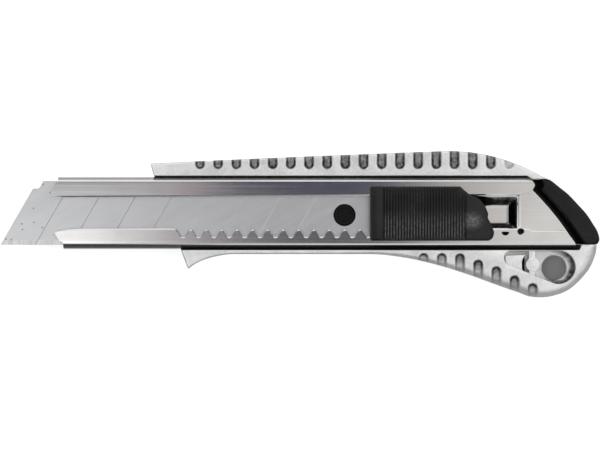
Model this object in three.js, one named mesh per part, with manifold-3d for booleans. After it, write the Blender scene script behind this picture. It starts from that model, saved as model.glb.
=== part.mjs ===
// An 18 mm snap-off utility knife with a die-cast handle, lying flat on its back.
// X runs along the knife from the blade's tip to the end cap, Y from belly to spine,
// Z up from the back face. Lengths are in millimetres.
import * as THREE from 'three';
import { mergeVertices } from 'three/addons/utils/BufferGeometryUtils.js';
import Module from 'manifold-3d';

const wasm = await Module();
wasm.setup();

// ---- Blade -------------------------------------------------------------
const BLADE_WIDTH = 18;
const BLADE_THICKNESS = 0.5;
const BLADE_LENGTH = 106.8;
const BLADE_REACH = 15.4; // how far the tip stands out of the guide at rest
const POINT_SLANT = THREE.MathUtils.degToRad(60);
const SEGMENT_PITCH = 10.2;
const FIRST_SCORE = 9.8; // from the tip, along the cutting edge
const SCORE_DEPTH = 0.12;
const SCORE_WIDTH = 0.24;
const EDGE_HEIGHT = 1.3; // the ground cutting edge
const EDGE_LAND = 0.08; // thickness left at the very edge
const POINT_NOTCH = 1.8; // the step broken out behind the first segment
const HOLE_FROM_END = 10;
const HOLE_RADIUS = 3.1;
const HOLE_OFFSET = -0.6; // from the blade's centre line

// ---- Guide: a C-channel of bent sheet ------------------------------------
const SHEET = 0.8;
const BLADE_SIDE_PLAY = 0.25;
const GUIDE_ROOM = 2.1; // clear height between floor and lips
const BEND_RADIUS = 0.5; // inside the bend
const UPPER_LIP = 5.65;
const LOWER_LIP = 5.75;
const LIP_SLANT = 2; // how far the upper lip's tip leads its bend
const RACK_PITCH = 4.32;
const RACK_DEPTH = 2.1;
const RACK_TIP_DROP = 0.3; // tooth tips stand back from the plain lip
const TEETH_FORWARD = 15;
const TEETH_BACK = 4;
const GUIDE_TAIL_SLANT = 14.2; // the guide's rear edge leans this far along X
const TAIL_BOW = 0.5;
const GUIDE_PAST_PAD = 6.5; // guide left behind the pad when it is fully back
const POCKET_DEPTH = 1.8;
const POCKET_LENGTH = 33;
const POCKET_WIDTH = 9.2;
const POCKET_WALL_RUN = 2.1; // how far each sloping wall runs in plan
const PIN_HOLE_RADIUS = 0.85;
const PIN_HOLE_BACK = 1.2; // behind the pocket

// ---- Handle casting ------------------------------------------------------
const HANDLE_LENGTH = 125.8;
const BACK_PLATE = 2;
const HOLLOW_DEPTH = 3.2;
const LEDGE_WIDTH = 3;
const HOLLOW_SETBACK = 5; // solid plate left in front of the hollow
const FACE_ABOVE_GUIDE = 1;
const SPINE_GAP = 0.9; // dark gaps between the guide and the two bars
const BELLY_GAP = 0.35;
const SPINE_FRONT = 3.05; // bar thickness at its front, at its crown and at its tail
const SPINE_CROWN = 6.55;
const SPINE_TAIL = 0.65;
const CROWN_FROM_REAR = 42;
const TAIL_FROM_REAR = 15.5;
const TAIL_TUCK = 0.55; // the tail's underside lies this far below the guide's edge
const BELLY_BAR = 1.2;
const HOOK_DROP = 5;
const HEEL_DROP = 13.2;
const SWELL_FROM_REAR = 63.9; // where the belly starts to swell
const LOWEST_FROM_REAR = 17;
const PLATE_SETBACK = 8.5; // the belly bar starts this far behind the spine bar
const OUTER_ROUND = 0.9;
const HEEL_RISE = 1.45; // the heel's top stands above the belly wall
const HEEL_TOP_LENGTH = 4.6;
const HEEL_GAP = 0.7; // from the guide's lower corner to the heel's step
const DIMPLE_PITCH = 5.104;
const DIMPLE_WIDTH = 2.8;
const DIMPLE_DEPTH = 1.3;
const SPINE_DIMPLES = 18;
const SPINE_DIMPLE_FIRST = 111.7; // ahead of the casting's rear
const SPINE_DIMPLE_IN = 1.35; // from the channel to a scoop's inner end
const BELLY_DIMPLES = 7;
const BELLY_DIMPLE_FIRST = 48.9;
const BELLY_DIMPLE_REACH = 5.2; // from the rim inwards, shorter round the heel
const TEAR_SMALL_RADIUS = 2;
const TEAR_BIG_RADIUS = 4.6;
const TEAR_SPAN = 13.4;
const TEAR_FROM_REAR = 10.9;
const TEAR_DEPTH = 6;
const TEAR_WALL = 0.3; // metal between the channel and the teardrop pocket
const LANYARD_RADIUS = 3.4;
const LANYARD_FORWARD = 1; // from the big circle's centre
const LANYARD_DROP = 0.2;

// ---- Rivets ----------------------------------------------------------------
const RIVET_RADIUS = 1;
const RIVET_HEAD_RADIUS = 1.75;
const RIVET_HEAD = 0.6;
const RIVET_PLAY = 0.1;
const RIVET_TAIL = 0.2; // its end lies inside the back face
const RIVET_SINK = 0.05;
const SPRING_RIVET_HEAD = 0.3;
const RIVET_BOSS_RADIUS = 2.6;
const FRONT_RIVET_BACK = 20; // from the casting's front edge
const REAR_RIVET_IN = 8; // from the pocket's front end

// ---- Slider ----------------------------------------------------------------
const CARRIER_THICKNESS = 1.1;
const CARRIER_NOSE = 6; // strip ahead of the peg
const PEG_PLAY = 0.15;
const PAD_BEHIND_PEG = 7.1;
const PAD_LENGTH = 34.9;
const PAD_TOP_SIDE = 7.4;
const PAD_BOTTOM_SIDE = 7.8;
const PAD_HEIGHT = 4.4;
const PAD_LEAN = 9.6; // the pad's rear end leans like the guide's tail
const PAD_TRAVEL = 1.2; // free play that works the lock
const RIB_PITCH = 0.81;
const RIB_DEPTH = 0.3;
const RIB_COUNT = 28;
const RIB_START = 3.9;
const NECK_HALF = 3.9;
const NECK_WAIST = 2.7;
const NECK_LENGTH = 11.5;
const NECK_HEIGHT = 2.1;
const NECK_BEHIND_NOSE = 3.3;
const NOSE_BEHIND_PAD_FRONT = 12.34;
const CAVITY_ROOF = 1.4;

// ---- Lock spring -------------------------------------------------------------
const SPRING_SHEET = 0.3;
const SPRING_HALF_WIDTH = 3.1;
const NOSE_HALF_LENGTH = 1.1;
const NOSE_SIDE_PLAY = 0.35;

// ---- End cap ---------------------------------------------------------------
const CAP_BAND = 9.2; // along X, at the bottom of the cap
const CAP_OVERHANG = 0.6; // past the casting's heel
const CAP_GAP = 0.4;
const CAP_STEP = 0.4; // the cap lies below the casting's two faces
const TONGUE_LENGTH = 20;
const TONGUE_PLAY = 0.25;

const SLIDE_GAP = 0.1; // between parts that slide or sit on each other
const OVERCUT = 1; // how far a cutter runs past what it cuts

// ---- Derived levels (Z) ------------------------------------------------------
const LEDGE_Z = BACK_PLATE + HOLLOW_DEPTH;
const GUIDE_Z = LEDGE_Z + SLIDE_GAP;
const FLOOR_Z = GUIDE_Z + SHEET;
const LIP_Z = FLOOR_Z + GUIDE_ROOM;
const GUIDE_TOP = LIP_Z + SHEET;
const FACE_Z = GUIDE_TOP + FACE_ABOVE_GUIDE;
const CARRIER_Z = FLOOR_Z + SLIDE_GAP;
const BLADE_Z = CARRIER_Z + CARRIER_THICKNESS + SLIDE_GAP / 2;
const CARRIER_BLOCK_TOP = LIP_Z - SLIDE_GAP;
const PAD_Z = GUIDE_TOP + SLIDE_GAP * 2;
const PAD_TOP = PAD_Z + PAD_HEIGHT;
const NECK_TOP = PAD_Z + NECK_HEIGHT;
const CAVITY_TOP = PAD_TOP - CAVITY_ROOF;

// ---- Derived places (X, Y) ---------------------------------------------------
const GUIDE_HALF = BLADE_WIDTH / 2 + BLADE_SIDE_PLAY + SHEET;
const UPPER_LIP_EDGE = GUIDE_HALF - UPPER_LIP;
const LOWER_LIP_EDGE = -GUIDE_HALF + LOWER_LIP;
const CHANNEL_TOP = GUIDE_HALF + SPINE_GAP;
const CHANNEL_BOTTOM = -GUIDE_HALF - BELLY_GAP;
const TAIL_Y = GUIDE_HALF - TAIL_TUCK;
const GUIDE_FRONT = BLADE_REACH;
const PEG_X = BLADE_LENGTH - HOLE_FROM_END;
const PAD_FRONT = PEG_X + PAD_BEHIND_PEG;
const PAD_REAR = PAD_FRONT + PAD_LENGTH;
const NOSE_X = PAD_FRONT + NOSE_BEHIND_PAD_FRONT;
const RACK_START = NOSE_X - TEETH_FORWARD * RACK_PITCH;
const RACK_END = NOSE_X + TEETH_BACK * RACK_PITCH;
const GUIDE_REAR = PAD_REAR + TEETH_BACK * RACK_PITCH + GUIDE_PAST_PAD;
const GUIDE_REAR_TOP = GUIDE_REAR - GUIDE_TAIL_SLANT;
const NECK_X = NOSE_X + NECK_BEHIND_NOSE;
const CASTING_REAR = GUIDE_REAR + HEEL_GAP + HEEL_TOP_LENGTH;
const CASTING_FRONT = CASTING_REAR - HANDLE_LENGTH;
const BELLY_FRONT = CASTING_FRONT + PLATE_SETBACK;
const POCKET_REAR = GUIDE_REAR - 17.5;
const POCKET_FRONT = POCKET_REAR - POCKET_LENGTH;
const HOLLOW_HALF = GUIDE_HALF - LEDGE_WIDTH;
const RIVET_FRONT_X = CASTING_FRONT + FRONT_RIVET_BACK;
const RIVET_REAR_X = POCKET_FRONT + REAR_RIVET_IN;
const TEAR_TOP = CHANNEL_BOTTOM - TEAR_WALL;
const TEAR_BIG_X = CASTING_REAR - TEAR_FROM_REAR;

// ---- Materials ---------------------------------------------------------------
function finish(color, roughness, metalness) {
  return new THREE.MeshStandardMaterial({ color, roughness, metalness });
}
const CAST_ALLOY = finish(0xcdced0, 0.45, 0.9);
const STAINLESS = finish(0xb9b8b5, 0.25, 1);
const BLADE_STEEL = finish(0xa9abb0, 0.3, 1);
const SPRING_STEEL = finish(0x8f9296, 0.3, 1);
const RIVET_STEEL = finish(0xa8a8a6, 0.35, 1);
const BLACK_PLASTIC = finish(0x1d1e22, 0.5, 0);
const CAP_PLASTIC = finish(0x17181c, 0.4, 0);

// ---- Solids ------------------------------------------------------------------
function solid(geometry) {
  const bare = geometry.clone();
  bare.deleteAttribute('normal');
  bare.deleteAttribute('uv');
  const merged = mergeVertices(bare, 1e-4);
  return new wasm.Manifold(new wasm.Mesh({
    numProp: 3,
    vertProperties: new Float32Array(merged.attributes.position.array),
    triVerts: new Uint32Array(merged.index.array),
  }));
}

function geometryOf(made) {
  const mesh = made.getMesh();
  const geometry = new THREE.BufferGeometry();
  geometry.setAttribute('position', new THREE.BufferAttribute(mesh.vertProperties, 3));
  geometry.setIndex(new THREE.BufferAttribute(mesh.triVerts, 1));
  const flat = geometry.toNonIndexed();
  flat.computeVertexNormals();
  return flat;
}

// A flat plate with the outline of a shape, from z0 up to z1, its rims rounded by `round`.
function plate(shape, z0, z1, round = 0, curveSegments = 4) {
  const geometry = new THREE.ExtrudeGeometry(shape, {
    depth: z1 - z0 - 2 * round,
    bevelEnabled: round > 0,
    bevelSize: round,
    bevelThickness: round,
    bevelOffset: -round,
    bevelSegments: 2,
    curveSegments,
  });
  return solid(geometry.translate(0, 0, z0 + round));
}

// A profile drawn in X and Z, carried across Y from y0 to y1.
function across(shape, y0, y1) {
  const geometry = new THREE.ExtrudeGeometry(shape, { depth: y1 - y0, bevelEnabled: false });
  return solid(geometry.rotateX(Math.PI / 2).translate(0, y1, 0));
}

function block(x0, x1, y0, y1, z0, z1) {
  const geometry = new THREE.BoxGeometry(x1 - x0, y1 - y0, z1 - z0);
  return solid(geometry.translate((x0 + x1) / 2, (y0 + y1) / 2, (z0 + z1) / 2));
}

function disc(x, y, radius, z0, z1, sides = 24) {
  const geometry = new THREE.CylinderGeometry(radius, radius, z1 - z0, sides);
  return solid(geometry.rotateX(Math.PI / 2).translate(x, y, (z0 + z1) / 2));
}

function polygon(points) {
  return new THREE.Shape(points.map(([x, y]) => new THREE.Vector2(x, y)));
}

function curveThrough(path, points) {
  path.splineThru(points.map(([x, y]) => new THREE.Vector2(x, y)));
  return path;
}

// ---- Shared plan curves --------------------------------------------------------
// The guide's slanting tail, from its upper corner to its lower one, bowed a little outwards.
// The cap and the back plate follow the same curve at their own distance.
function tailCurve(away) {
  const drop = 2 * GUIDE_HALF;
  const count = 8;
  const points = [];
  for (let i = 0; i <= count; i += 1) {
    const t = i / count;
    const bow = TAIL_BOW * Math.sin(Math.PI * t);
    points.push([GUIDE_REAR_TOP + GUIDE_TAIL_SLANT * t + bow + away, GUIDE_HALF - drop * t]);
  }
  return points;
}

// Distance of the spine bar's outer edge above the channel at x: a slow rise to the crown,
// then an elliptic fall to the thin tail.
function spineThickness(x) {
  const crownX = CASTING_REAR - CROWN_FROM_REAR;
  const tailX = CASTING_REAR - TAIL_FROM_REAR;
  if (x <= crownX) {
    const t = (x - CASTING_FRONT) / (crownX - CASTING_FRONT);
    return SPINE_FRONT + (SPINE_CROWN - SPINE_FRONT) * (1.12 * t - 0.12 * t * t);
  }
  const u = Math.min((x - crownX) / (tailX - crownX), 1);
  return SPINE_TAIL + (SPINE_CROWN - SPINE_TAIL) * (1 - u ** 2.1);
}

// Distance of the belly's outer edge below the channel at x, from the flat bar to the heel.
function bellyThickness(x) {
  const startX = CASTING_REAR - SWELL_FROM_REAR;
  const lowX = CASTING_REAR - LOWEST_FROM_REAR;
  const t = THREE.MathUtils.clamp((x - startX) / (lowX - startX), 0, 1);
  return BELLY_BAR + (HEEL_DROP - BELLY_BAR) * t ** 1.7 * (1.18 - 0.18 * t ** 6);
}

// ---- Handle casting --------------------------------------------------------------
function castingOutline() {
  const belly = CHANNEL_BOTTOM;
  const shape = new THREE.Shape();
  shape.moveTo(BELLY_FRONT, belly + 0.4);
  shape.lineTo(BELLY_FRONT + 2.2, belly - HOOK_DROP);
  shape.quadraticCurveTo(BELLY_FRONT + 5.5, belly - BELLY_BAR - 0.9, BELLY_FRONT + 14, belly - BELLY_BAR);
  const bellyX = [SWELL_FROM_REAR, 58, 52, 46, 40, 34, 28, 22].map((back) => CASTING_REAR - back);
  bellyX.forEach((x) => shape.lineTo(x, belly - bellyThickness(x)));
  const low = belly - HEEL_DROP;
  curveThrough(shape, [
    [CASTING_REAR - 18.5, low],
    [CASTING_REAR - 13.4, low],
    [CASTING_REAR - 7.8, low + 2],
    [CASTING_REAR - 2.7, low + 7],
    [CASTING_REAR - 0.5, low + 11.5],
    [CASTING_REAR, belly + HEEL_RISE],
  ]);
  shape.lineTo(CASTING_REAR - 13.6, TAIL_Y);
  const spineX = [TAIL_FROM_REAR, 19, 23, 28, 33, 38, CROWN_FROM_REAR, 60, 80, 100]
    .map((back) => CASTING_REAR - back);
  spineX.filter((x) => x > CASTING_FRONT + 2)
    .forEach((x) => shape.lineTo(x, CHANNEL_TOP + spineThickness(x)));
  shape.lineTo(CASTING_FRONT, CHANNEL_TOP + SPINE_FRONT);
  shape.lineTo(CASTING_FRONT + 0.9, CHANNEL_TOP);
  shape.closePath();
  return shape;
}

// The slot that holds the guide, open at the front and at the rear.
function channelOutline() {
  const front = CASTING_FRONT - OVERCUT;
  const rear = CASTING_REAR + OVERCUT;
  const heel = CASTING_REAR - HEEL_TOP_LENGTH;
  return polygon([
    [front, CHANNEL_BOTTOM],
    [heel - 0.5, CHANNEL_BOTTOM],
    [heel, CHANNEL_BOTTOM + HEEL_RISE],
    [rear, CHANNEL_BOTTOM + HEEL_RISE],
    [rear, TAIL_Y],
    [CASTING_REAR - 18.5, TAIL_Y],
    [CASTING_REAR - 19.8, CHANNEL_TOP],
    [front, CHANNEL_TOP],
  ]);
}

// What the back plate leaves free for the end cap.
function capBayOutline() {
  const rear = CASTING_REAR + OVERCUT;
  const heel = CASTING_REAR - HEEL_TOP_LENGTH;
  const tail = tailCurve(0).filter(([x, y]) => y < UPPER_LIP_EDGE + 4.9 && x < heel);
  return polygon([
    [tail[0][0] - 1.5, TAIL_Y],
    ...tail,
    [heel, CHANNEL_BOTTOM + HEEL_RISE],
    [rear, CHANNEL_BOTTOM + HEEL_RISE],
    [rear, TAIL_Y],
  ]);
}

// The hull of a small and a big circle whose tops are level.
function teardropOutline() {
  const smallX = TEAR_BIG_X - TEAR_SPAN;
  const smallY = TEAR_TOP - TEAR_SMALL_RADIUS;
  const bigY = TEAR_TOP - TEAR_BIG_RADIUS;
  const lean = 2 * Math.atan2(TEAR_BIG_RADIUS - TEAR_SMALL_RADIUS, TEAR_SPAN);
  const shape = new THREE.Shape();
  shape.absarc(smallX, smallY, TEAR_SMALL_RADIUS, Math.PI / 2, 1.5 * Math.PI - lean, false);
  shape.absarc(TEAR_BIG_X, bigY, TEAR_BIG_RADIUS, 1.5 * Math.PI - lean, 2.5 * Math.PI, false);
  return shape;
}

// One grip scoop: a capsule lying across the bar, deep at its inner end and running out
// over the rim. `side` is +1 on the spine and -1 on the belly.
function scoop(x, innerEnd, side, faceZ) {
  const radius = DIMPLE_WIDTH / 2;
  const length = 9;
  const lean = THREE.MathUtils.degToRad(9);
  const geometry = new THREE.CapsuleGeometry(radius, length, 3, 10);
  const facing = faceZ > FACE_Z / 2 ? 1 : -1;
  geometry.translate(0, length / 2, 0);
  geometry.rotateX(lean * facing);
  if (side < 0) geometry.rotateZ(Math.PI);
  const z = faceZ + facing * (radius - DIMPLE_DEPTH);
  return solid(geometry.translate(x, innerEnd + side * radius, z));
}

function gripScoops() {
  const scoops = [];
  const spineStart = CASTING_REAR - SPINE_DIMPLE_FIRST;
  for (let k = 0; k < SPINE_DIMPLES; k += 1) {
    const x = spineStart + k * DIMPLE_PITCH;
    const inner = CHANNEL_TOP + Math.min(SPINE_DIMPLE_IN, spineThickness(x) - 0.5);
    if (x > CASTING_FRONT + DIMPLE_WIDTH) {
      scoops.push(scoop(x, inner, 1, FACE_Z), scoop(x, inner, 1, 0));
    }
  }
  const bellyStart = CASTING_REAR - BELLY_DIMPLE_FIRST;
  for (let k = 0; k < BELLY_DIMPLES; k += 1) {
    const x = bellyStart + k * DIMPLE_PITCH;
    const reach = BELLY_DIMPLE_REACH - 0.75 * Math.max(0, k - 4);
    const inner = CHANNEL_BOTTOM - Math.max(0.8, bellyThickness(x) - reach);
    scoops.push(scoop(x, inner, -1, FACE_Z), scoop(x, inner, -1, 0));
  }
  return scoops;
}

function teardropPocket() {
  const floorZ = FACE_Z - TEAR_DEPTH;
  const pocket = plate(teardropOutline(), floorZ, FACE_Z + OVERCUT, 0, 10);
  const smallX = TEAR_BIG_X - TEAR_SPAN;
  const left = smallX - TEAR_SMALL_RADIUS;
  const bottom = TEAR_TOP - 2 * TEAR_BIG_RADIUS - OVERCUT;
  const top = TEAR_TOP + OVERCUT;
  const padX = smallX + 6.1;
  const padY = TEAR_TOP - 3.8;
  const shelf = block(left, smallX + 4.6, bottom, TEAR_TOP - 0.9, floorZ - OVERCUT, FACE_Z - 1.2)
    .subtract(disc(padX, padY, 2.6, floorZ - 2 * OVERCUT, FACE_Z));
  const bridge = block(smallX + 4.9, smallX + 6.8, bottom, top, floorZ - OVERCUT, FACE_Z - 0.7);
  const pad = disc(padX, padY, 1.97, floorZ - OVERCUT, FACE_Z - 0.5, 16);
  return pocket.subtract(shelf).subtract(bridge).subtract(pad);
}

function handleCasting() {
  let body = plate(castingOutline(), 0, FACE_Z, OUTER_ROUND);
  body = body.subtract(plate(channelOutline(), LEDGE_Z, FACE_Z + OVERCUT));
  body = body.subtract(plate(capBayOutline(), -OVERCUT, FACE_Z + OVERCUT));
  const hollowFront = BELLY_FRONT + HOLLOW_SETBACK;
  body = body.subtract(block(
    hollowFront, CASTING_REAR + OVERCUT, -HOLLOW_HALF, HOLLOW_HALF, BACK_PLATE, LEDGE_Z + OVERCUT,
  ));
  body = body.add(disc(RIVET_FRONT_X, 0, RIVET_BOSS_RADIUS, BACK_PLATE / 2, LEDGE_Z));
  const pocketSeat = GUIDE_Z - POCKET_DEPTH - SLIDE_GAP;
  body = body.add(disc(RIVET_REAR_X, 0, RIVET_BOSS_RADIUS, BACK_PLATE / 2, pocketSeat));
  [RIVET_FRONT_X, RIVET_REAR_X].forEach((x) => {
    body = body.subtract(disc(x, 0, RIVET_RADIUS + RIVET_PLAY, -OVERCUT, FACE_Z));
  });
  body = body.subtract(teardropPocket());
  const lanyardY = TEAR_TOP - TEAR_BIG_RADIUS - LANYARD_DROP;
  body = body.subtract(disc(TEAR_BIG_X - LANYARD_FORWARD, lanyardY, LANYARD_RADIUS, -OVERCUT, FACE_Z));
  gripScoops().forEach((cut) => {
    body = body.subtract(cut);
  });
  return body;
}

// ---- Blade guide -------------------------------------------------------------------
// The channel's section in Y and Z: floor, two walls and two lips with rounded bends.
function guideSection() {
  const outer = BEND_RADIUS + SHEET;
  const half = GUIDE_HALF;
  const inner = half - SHEET;
  const height = 2 * SHEET + GUIDE_ROOM;
  const shape = new THREE.Shape();
  shape.moveTo(-half + outer, 0);
  shape.lineTo(half - outer, 0);
  shape.absarc(half - outer, outer, outer, -Math.PI / 2, 0, false);
  shape.absarc(half - outer, height - outer, outer, 0, Math.PI / 2, false);
  shape.lineTo(UPPER_LIP_EDGE, height);
  shape.lineTo(UPPER_LIP_EDGE, height - SHEET);
  shape.absarc(inner - BEND_RADIUS, height - SHEET - BEND_RADIUS, BEND_RADIUS, Math.PI / 2, 0, true);
  shape.absarc(inner - BEND_RADIUS, SHEET + BEND_RADIUS, BEND_RADIUS, 0, -Math.PI / 2, true);
  shape.absarc(-inner + BEND_RADIUS, SHEET + BEND_RADIUS, BEND_RADIUS, -Math.PI / 2, -Math.PI, true);
  shape.absarc(-inner + BEND_RADIUS, height - SHEET - BEND_RADIUS, BEND_RADIUS, Math.PI, Math.PI / 2, true);
  shape.lineTo(LOWER_LIP_EDGE, height - SHEET);
  shape.lineTo(LOWER_LIP_EDGE, height);
  shape.absarc(-half + outer, height - outer, outer, Math.PI / 2, Math.PI, false);
  shape.absarc(-half + outer, outer, outer, Math.PI, 1.5 * Math.PI, false);
  return shape;
}

function guideBlank() {
  const front = GUIDE_FRONT - LIP_SLANT;
  const length = GUIDE_REAR - front + OVERCUT;
  const geometry = new THREE.ExtrudeGeometry(guideSection(), {
    depth: length, bevelEnabled: false, curveSegments: 3,
  });
  // The section's X becomes Y, its Y becomes Z, and the extrusion runs along X.
  const turn = new THREE.Matrix4().makeBasis(
    new THREE.Vector3(0, 1, 0), new THREE.Vector3(0, 0, 1), new THREE.Vector3(1, 0, 0),
  );
  return solid(geometry.applyMatrix4(turn).translate(front, 0, GUIDE_Z));
}

// The scalloped rack along the lower lip: a cosine wave with one valley at each lock place.
function rackCutter() {
  const steps = 8;
  const teeth = TEETH_FORWARD + TEETH_BACK;
  const tip = LOWER_LIP_EDGE - RACK_TIP_DROP;
  const points = [[RACK_START - RACK_PITCH / 2, LOWER_LIP_EDGE + OVERCUT]];
  for (let i = -steps / 2; i <= steps * teeth + steps / 2; i += 1) {
    const wave = (1 + Math.cos((2 * Math.PI * i) / steps)) / 2;
    points.push([RACK_START + (i * RACK_PITCH) / steps, tip - RACK_DEPTH * wave]);
  }
  points.push([RACK_END + RACK_PITCH / 2, LOWER_LIP_EDGE + OVERCUT]);
  return plate(polygon(points), LIP_Z - OVERCUT / 2, GUIDE_TOP + OVERCUT);
}

// Cutters that shape the two ends: slanting lips in front, the diagonal tail behind.
function guideEndCutters() {
  const z1 = GUIDE_TOP + OVERCUT;
  const front = GUIDE_FRONT - LIP_SLANT - OVERCUT;
  const out = GUIDE_HALF + OVERCUT;
  const frontTop = polygon([
    [front, 0.6], [GUIDE_FRONT + 2, 0.6], [GUIDE_FRONT + 2, UPPER_LIP_EDGE],
    [GUIDE_FRONT - 0.6, UPPER_LIP_EDGE + 0.3], [GUIDE_FRONT - 1.2, UPPER_LIP_EDGE + 0.9],
    [GUIDE_FRONT + 0.8, out], [front, out],
  ]);
  const frontBottom = polygon([
    [front, 0.6], [GUIDE_FRONT + 7, 0.6], [GUIDE_FRONT + 6.6, LOWER_LIP_EDGE],
    [GUIDE_FRONT + 2.2, LOWER_LIP_EDGE - 0.6], [GUIDE_FRONT, LOWER_LIP_EDGE - 1.3],
    [GUIDE_FRONT + 2.2, LOWER_LIP_EDGE - 4.8], [GUIDE_FRONT + 2.4, -out], [front, -out],
  ]);
  const floorFront = polygon([
    [front, out], [front, -out], [GUIDE_FRONT + 2.4, -out], [GUIDE_FRONT + 0.8, out],
  ]);
  const tail = polygon([
    [GUIDE_REAR_TOP, out + 0.1], ...tailCurve(0),
    [GUIDE_REAR, -out], [GUIDE_REAR + 2 * OVERCUT, -out], [GUIDE_REAR + 2 * OVERCUT, out + 0.1],
  ]);
  return [
    plate(frontTop, FLOOR_Z + OVERCUT / 2, z1),
    plate(frontBottom, FLOOR_Z + OVERCUT / 2, z1),
    plate(floorFront, GUIDE_Z - OVERCUT, FLOOR_Z + OVERCUT),
    plate(tail, GUIDE_Z - OVERCUT, z1),
  ];
}

// A dish pressed into the floor: a four-sided frustum, `grow` larger all round.
function pocketDish(grow, top) {
  const x0 = POCKET_FRONT - grow;
  const x1 = POCKET_REAR + grow;
  const half = POCKET_WIDTH / 2 + grow;
  const depth = POCKET_DEPTH;
  const radius = Math.SQRT1_2;
  const frustum = new THREE.CylinderGeometry(radius, radius, 1, 4).rotateY(Math.PI / 4);
  const rim = frustum.attributes.position;
  const run = POCKET_WALL_RUN;
  for (let i = 0; i < rim.count; i += 1) {
    const isLow = rim.getY(i) < 0;
    const pull = isLow ? run : 0;
    const x = Math.abs(rim.getX(i)) < 1e-9 ? 0 : Math.sign(rim.getX(i)) * ((x1 - x0) / 2 - pull);
    const y = Math.abs(rim.getZ(i)) < 1e-9 ? 0 : Math.sign(rim.getZ(i)) * (half - pull);
    rim.setXYZ(i, (x0 + x1) / 2 + x, -y, isLow ? top - depth : top);
  }
  return solid(frustum);
}

function bladeGuide() {
  let guide = guideBlank();
  guideEndCutters().forEach((cut) => {
    guide = guide.subtract(cut);
  });
  guide = guide.subtract(rackCutter());
  guide = guide.add(pocketDish(SHEET / 2, GUIDE_Z)).subtract(pocketDish(-SHEET / 2, FLOOR_Z));
  guide = guide.subtract(block(
    POCKET_FRONT + SHEET / 2, POCKET_REAR - SHEET / 2,
    -POCKET_WIDTH / 2 + SHEET / 2, POCKET_WIDTH / 2 - SHEET / 2, FLOOR_Z - 0.01, LIP_Z,
  ));
  const hole = RIVET_RADIUS + RIVET_PLAY;
  guide = guide.subtract(disc(RIVET_REAR_X, 0, hole, 0, FACE_Z));
  const sink = new THREE.CylinderGeometry(RIVET_HEAD_RADIUS + RIVET_PLAY, hole, RIVET_HEAD, 24);
  sink.rotateX(Math.PI / 2).translate(RIVET_FRONT_X, 0, FLOOR_Z - RIVET_HEAD / 2);
  guide = guide.subtract(disc(RIVET_FRONT_X, 0, hole, 0, FACE_Z)).subtract(solid(sink));
  return guide.subtract(disc(
    POCKET_REAR + PIN_HOLE_BACK, LOWER_LIP_EDGE - PIN_HOLE_RADIUS, PIN_HOLE_RADIUS,
    LIP_Z - SHEET / 2, FACE_Z, 12,
  ));
}

// ---- Rivets ---------------------------------------------------------------------------
function revolve(profile, segments = 24) {
  const points = profile.map(([r, z]) => new THREE.Vector2(r, z));
  return new THREE.LatheGeometry(points, segments).rotateX(Math.PI / 2);
}

function frontRivet() {
  return revolve([
    [0, RIVET_TAIL], [RIVET_RADIUS, RIVET_TAIL], [RIVET_RADIUS, FLOOR_Z - RIVET_HEAD],
    [RIVET_HEAD_RADIUS, FLOOR_Z - RIVET_SINK], [0, FLOOR_Z - RIVET_SINK],
  ]);
}

function rearRivet() {
  const seat = FLOOR_Z - POCKET_DEPTH + SLIDE_GAP;
  return revolve([
    [0, RIVET_TAIL], [RIVET_RADIUS, RIVET_TAIL], [RIVET_RADIUS, seat], [RIVET_HEAD_RADIUS, seat],
    [RIVET_HEAD_RADIUS * 0.7, seat + RIVET_HEAD], [0, seat + RIVET_HEAD],
  ]);
}

// ---- Blade ------------------------------------------------------------------------------
function bladeOutline() {
  const half = BLADE_WIDTH / 2;
  const run = BLADE_WIDTH / Math.tan(POINT_SLANT);
  const notchX = run - POINT_NOTCH / Math.tan(POINT_SLANT);
  const shape = polygon([
    [0, -half], [BLADE_LENGTH, -half], [BLADE_LENGTH, half], [run + 1.6, half],
    [run + 1.2, half - 1.3], [run + 0.8, half - 2], [notchX, half - POINT_NOTCH],
  ]);
  const hole = new THREE.Path();
  hole.absarc(PEG_X, HOLE_OFFSET, HOLE_RADIUS, 0, 2 * Math.PI, true);
  shape.holes.push(hole);
  return shape;
}

// Two thin wedges that hone the cutting edge from both faces.
function honing() {
  const half = BLADE_WIDTH / 2;
  const bevel = (BLADE_THICKNESS - EDGE_LAND) / 2;
  const wedge = (z, way) => polygon([
    [-half - 0.5, z - way * 0.5], [-half + EDGE_HEIGHT, z], [-half, z + way * bevel],
    [-half - 0.5, z + way * bevel],
  ]);
  const turn = new THREE.Matrix4().makeBasis(
    new THREE.Vector3(0, 1, 0), new THREE.Vector3(0, 0, 1), new THREE.Vector3(1, 0, 0),
  );
  return [wedge(BLADE_Z, 1), wedge(BLADE_Z + BLADE_THICKNESS, -1)].map((shape) => {
    const geometry = new THREE.ExtrudeGeometry(shape, { depth: BLADE_LENGTH + 2, bevelEnabled: false });
    return solid(geometry.applyMatrix4(turn).translate(-1, 0, 0));
  });
}

function scoreLines() {
  const lines = [];
  const length = BLADE_WIDTH / Math.sin(POINT_SLANT) + 2;
  const side = SCORE_WIDTH / Math.SQRT2;
  for (let x = FIRST_SCORE; x < PEG_X - SEGMENT_PITCH - 4; x += SEGMENT_PITCH) {
    const groove = new THREE.BoxGeometry(length, side, side);
    groove.rotateX(Math.PI / 4).rotateZ(POINT_SLANT);
    const middle = x + BLADE_WIDTH / 2 / Math.tan(POINT_SLANT);
    lines.push(solid(groove.translate(middle, 0, BLADE_Z + BLADE_THICKNESS + SCORE_WIDTH / 2 - SCORE_DEPTH)));
  }
  return lines;
}

function snapBlade() {
  let blade = plate(bladeOutline(), BLADE_Z, BLADE_Z + BLADE_THICKNESS, 0, 12);
  [...honing(), ...scoreLines()].forEach((cut) => {
    blade = blade.subtract(cut);
  });
  return blade;
}

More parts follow.
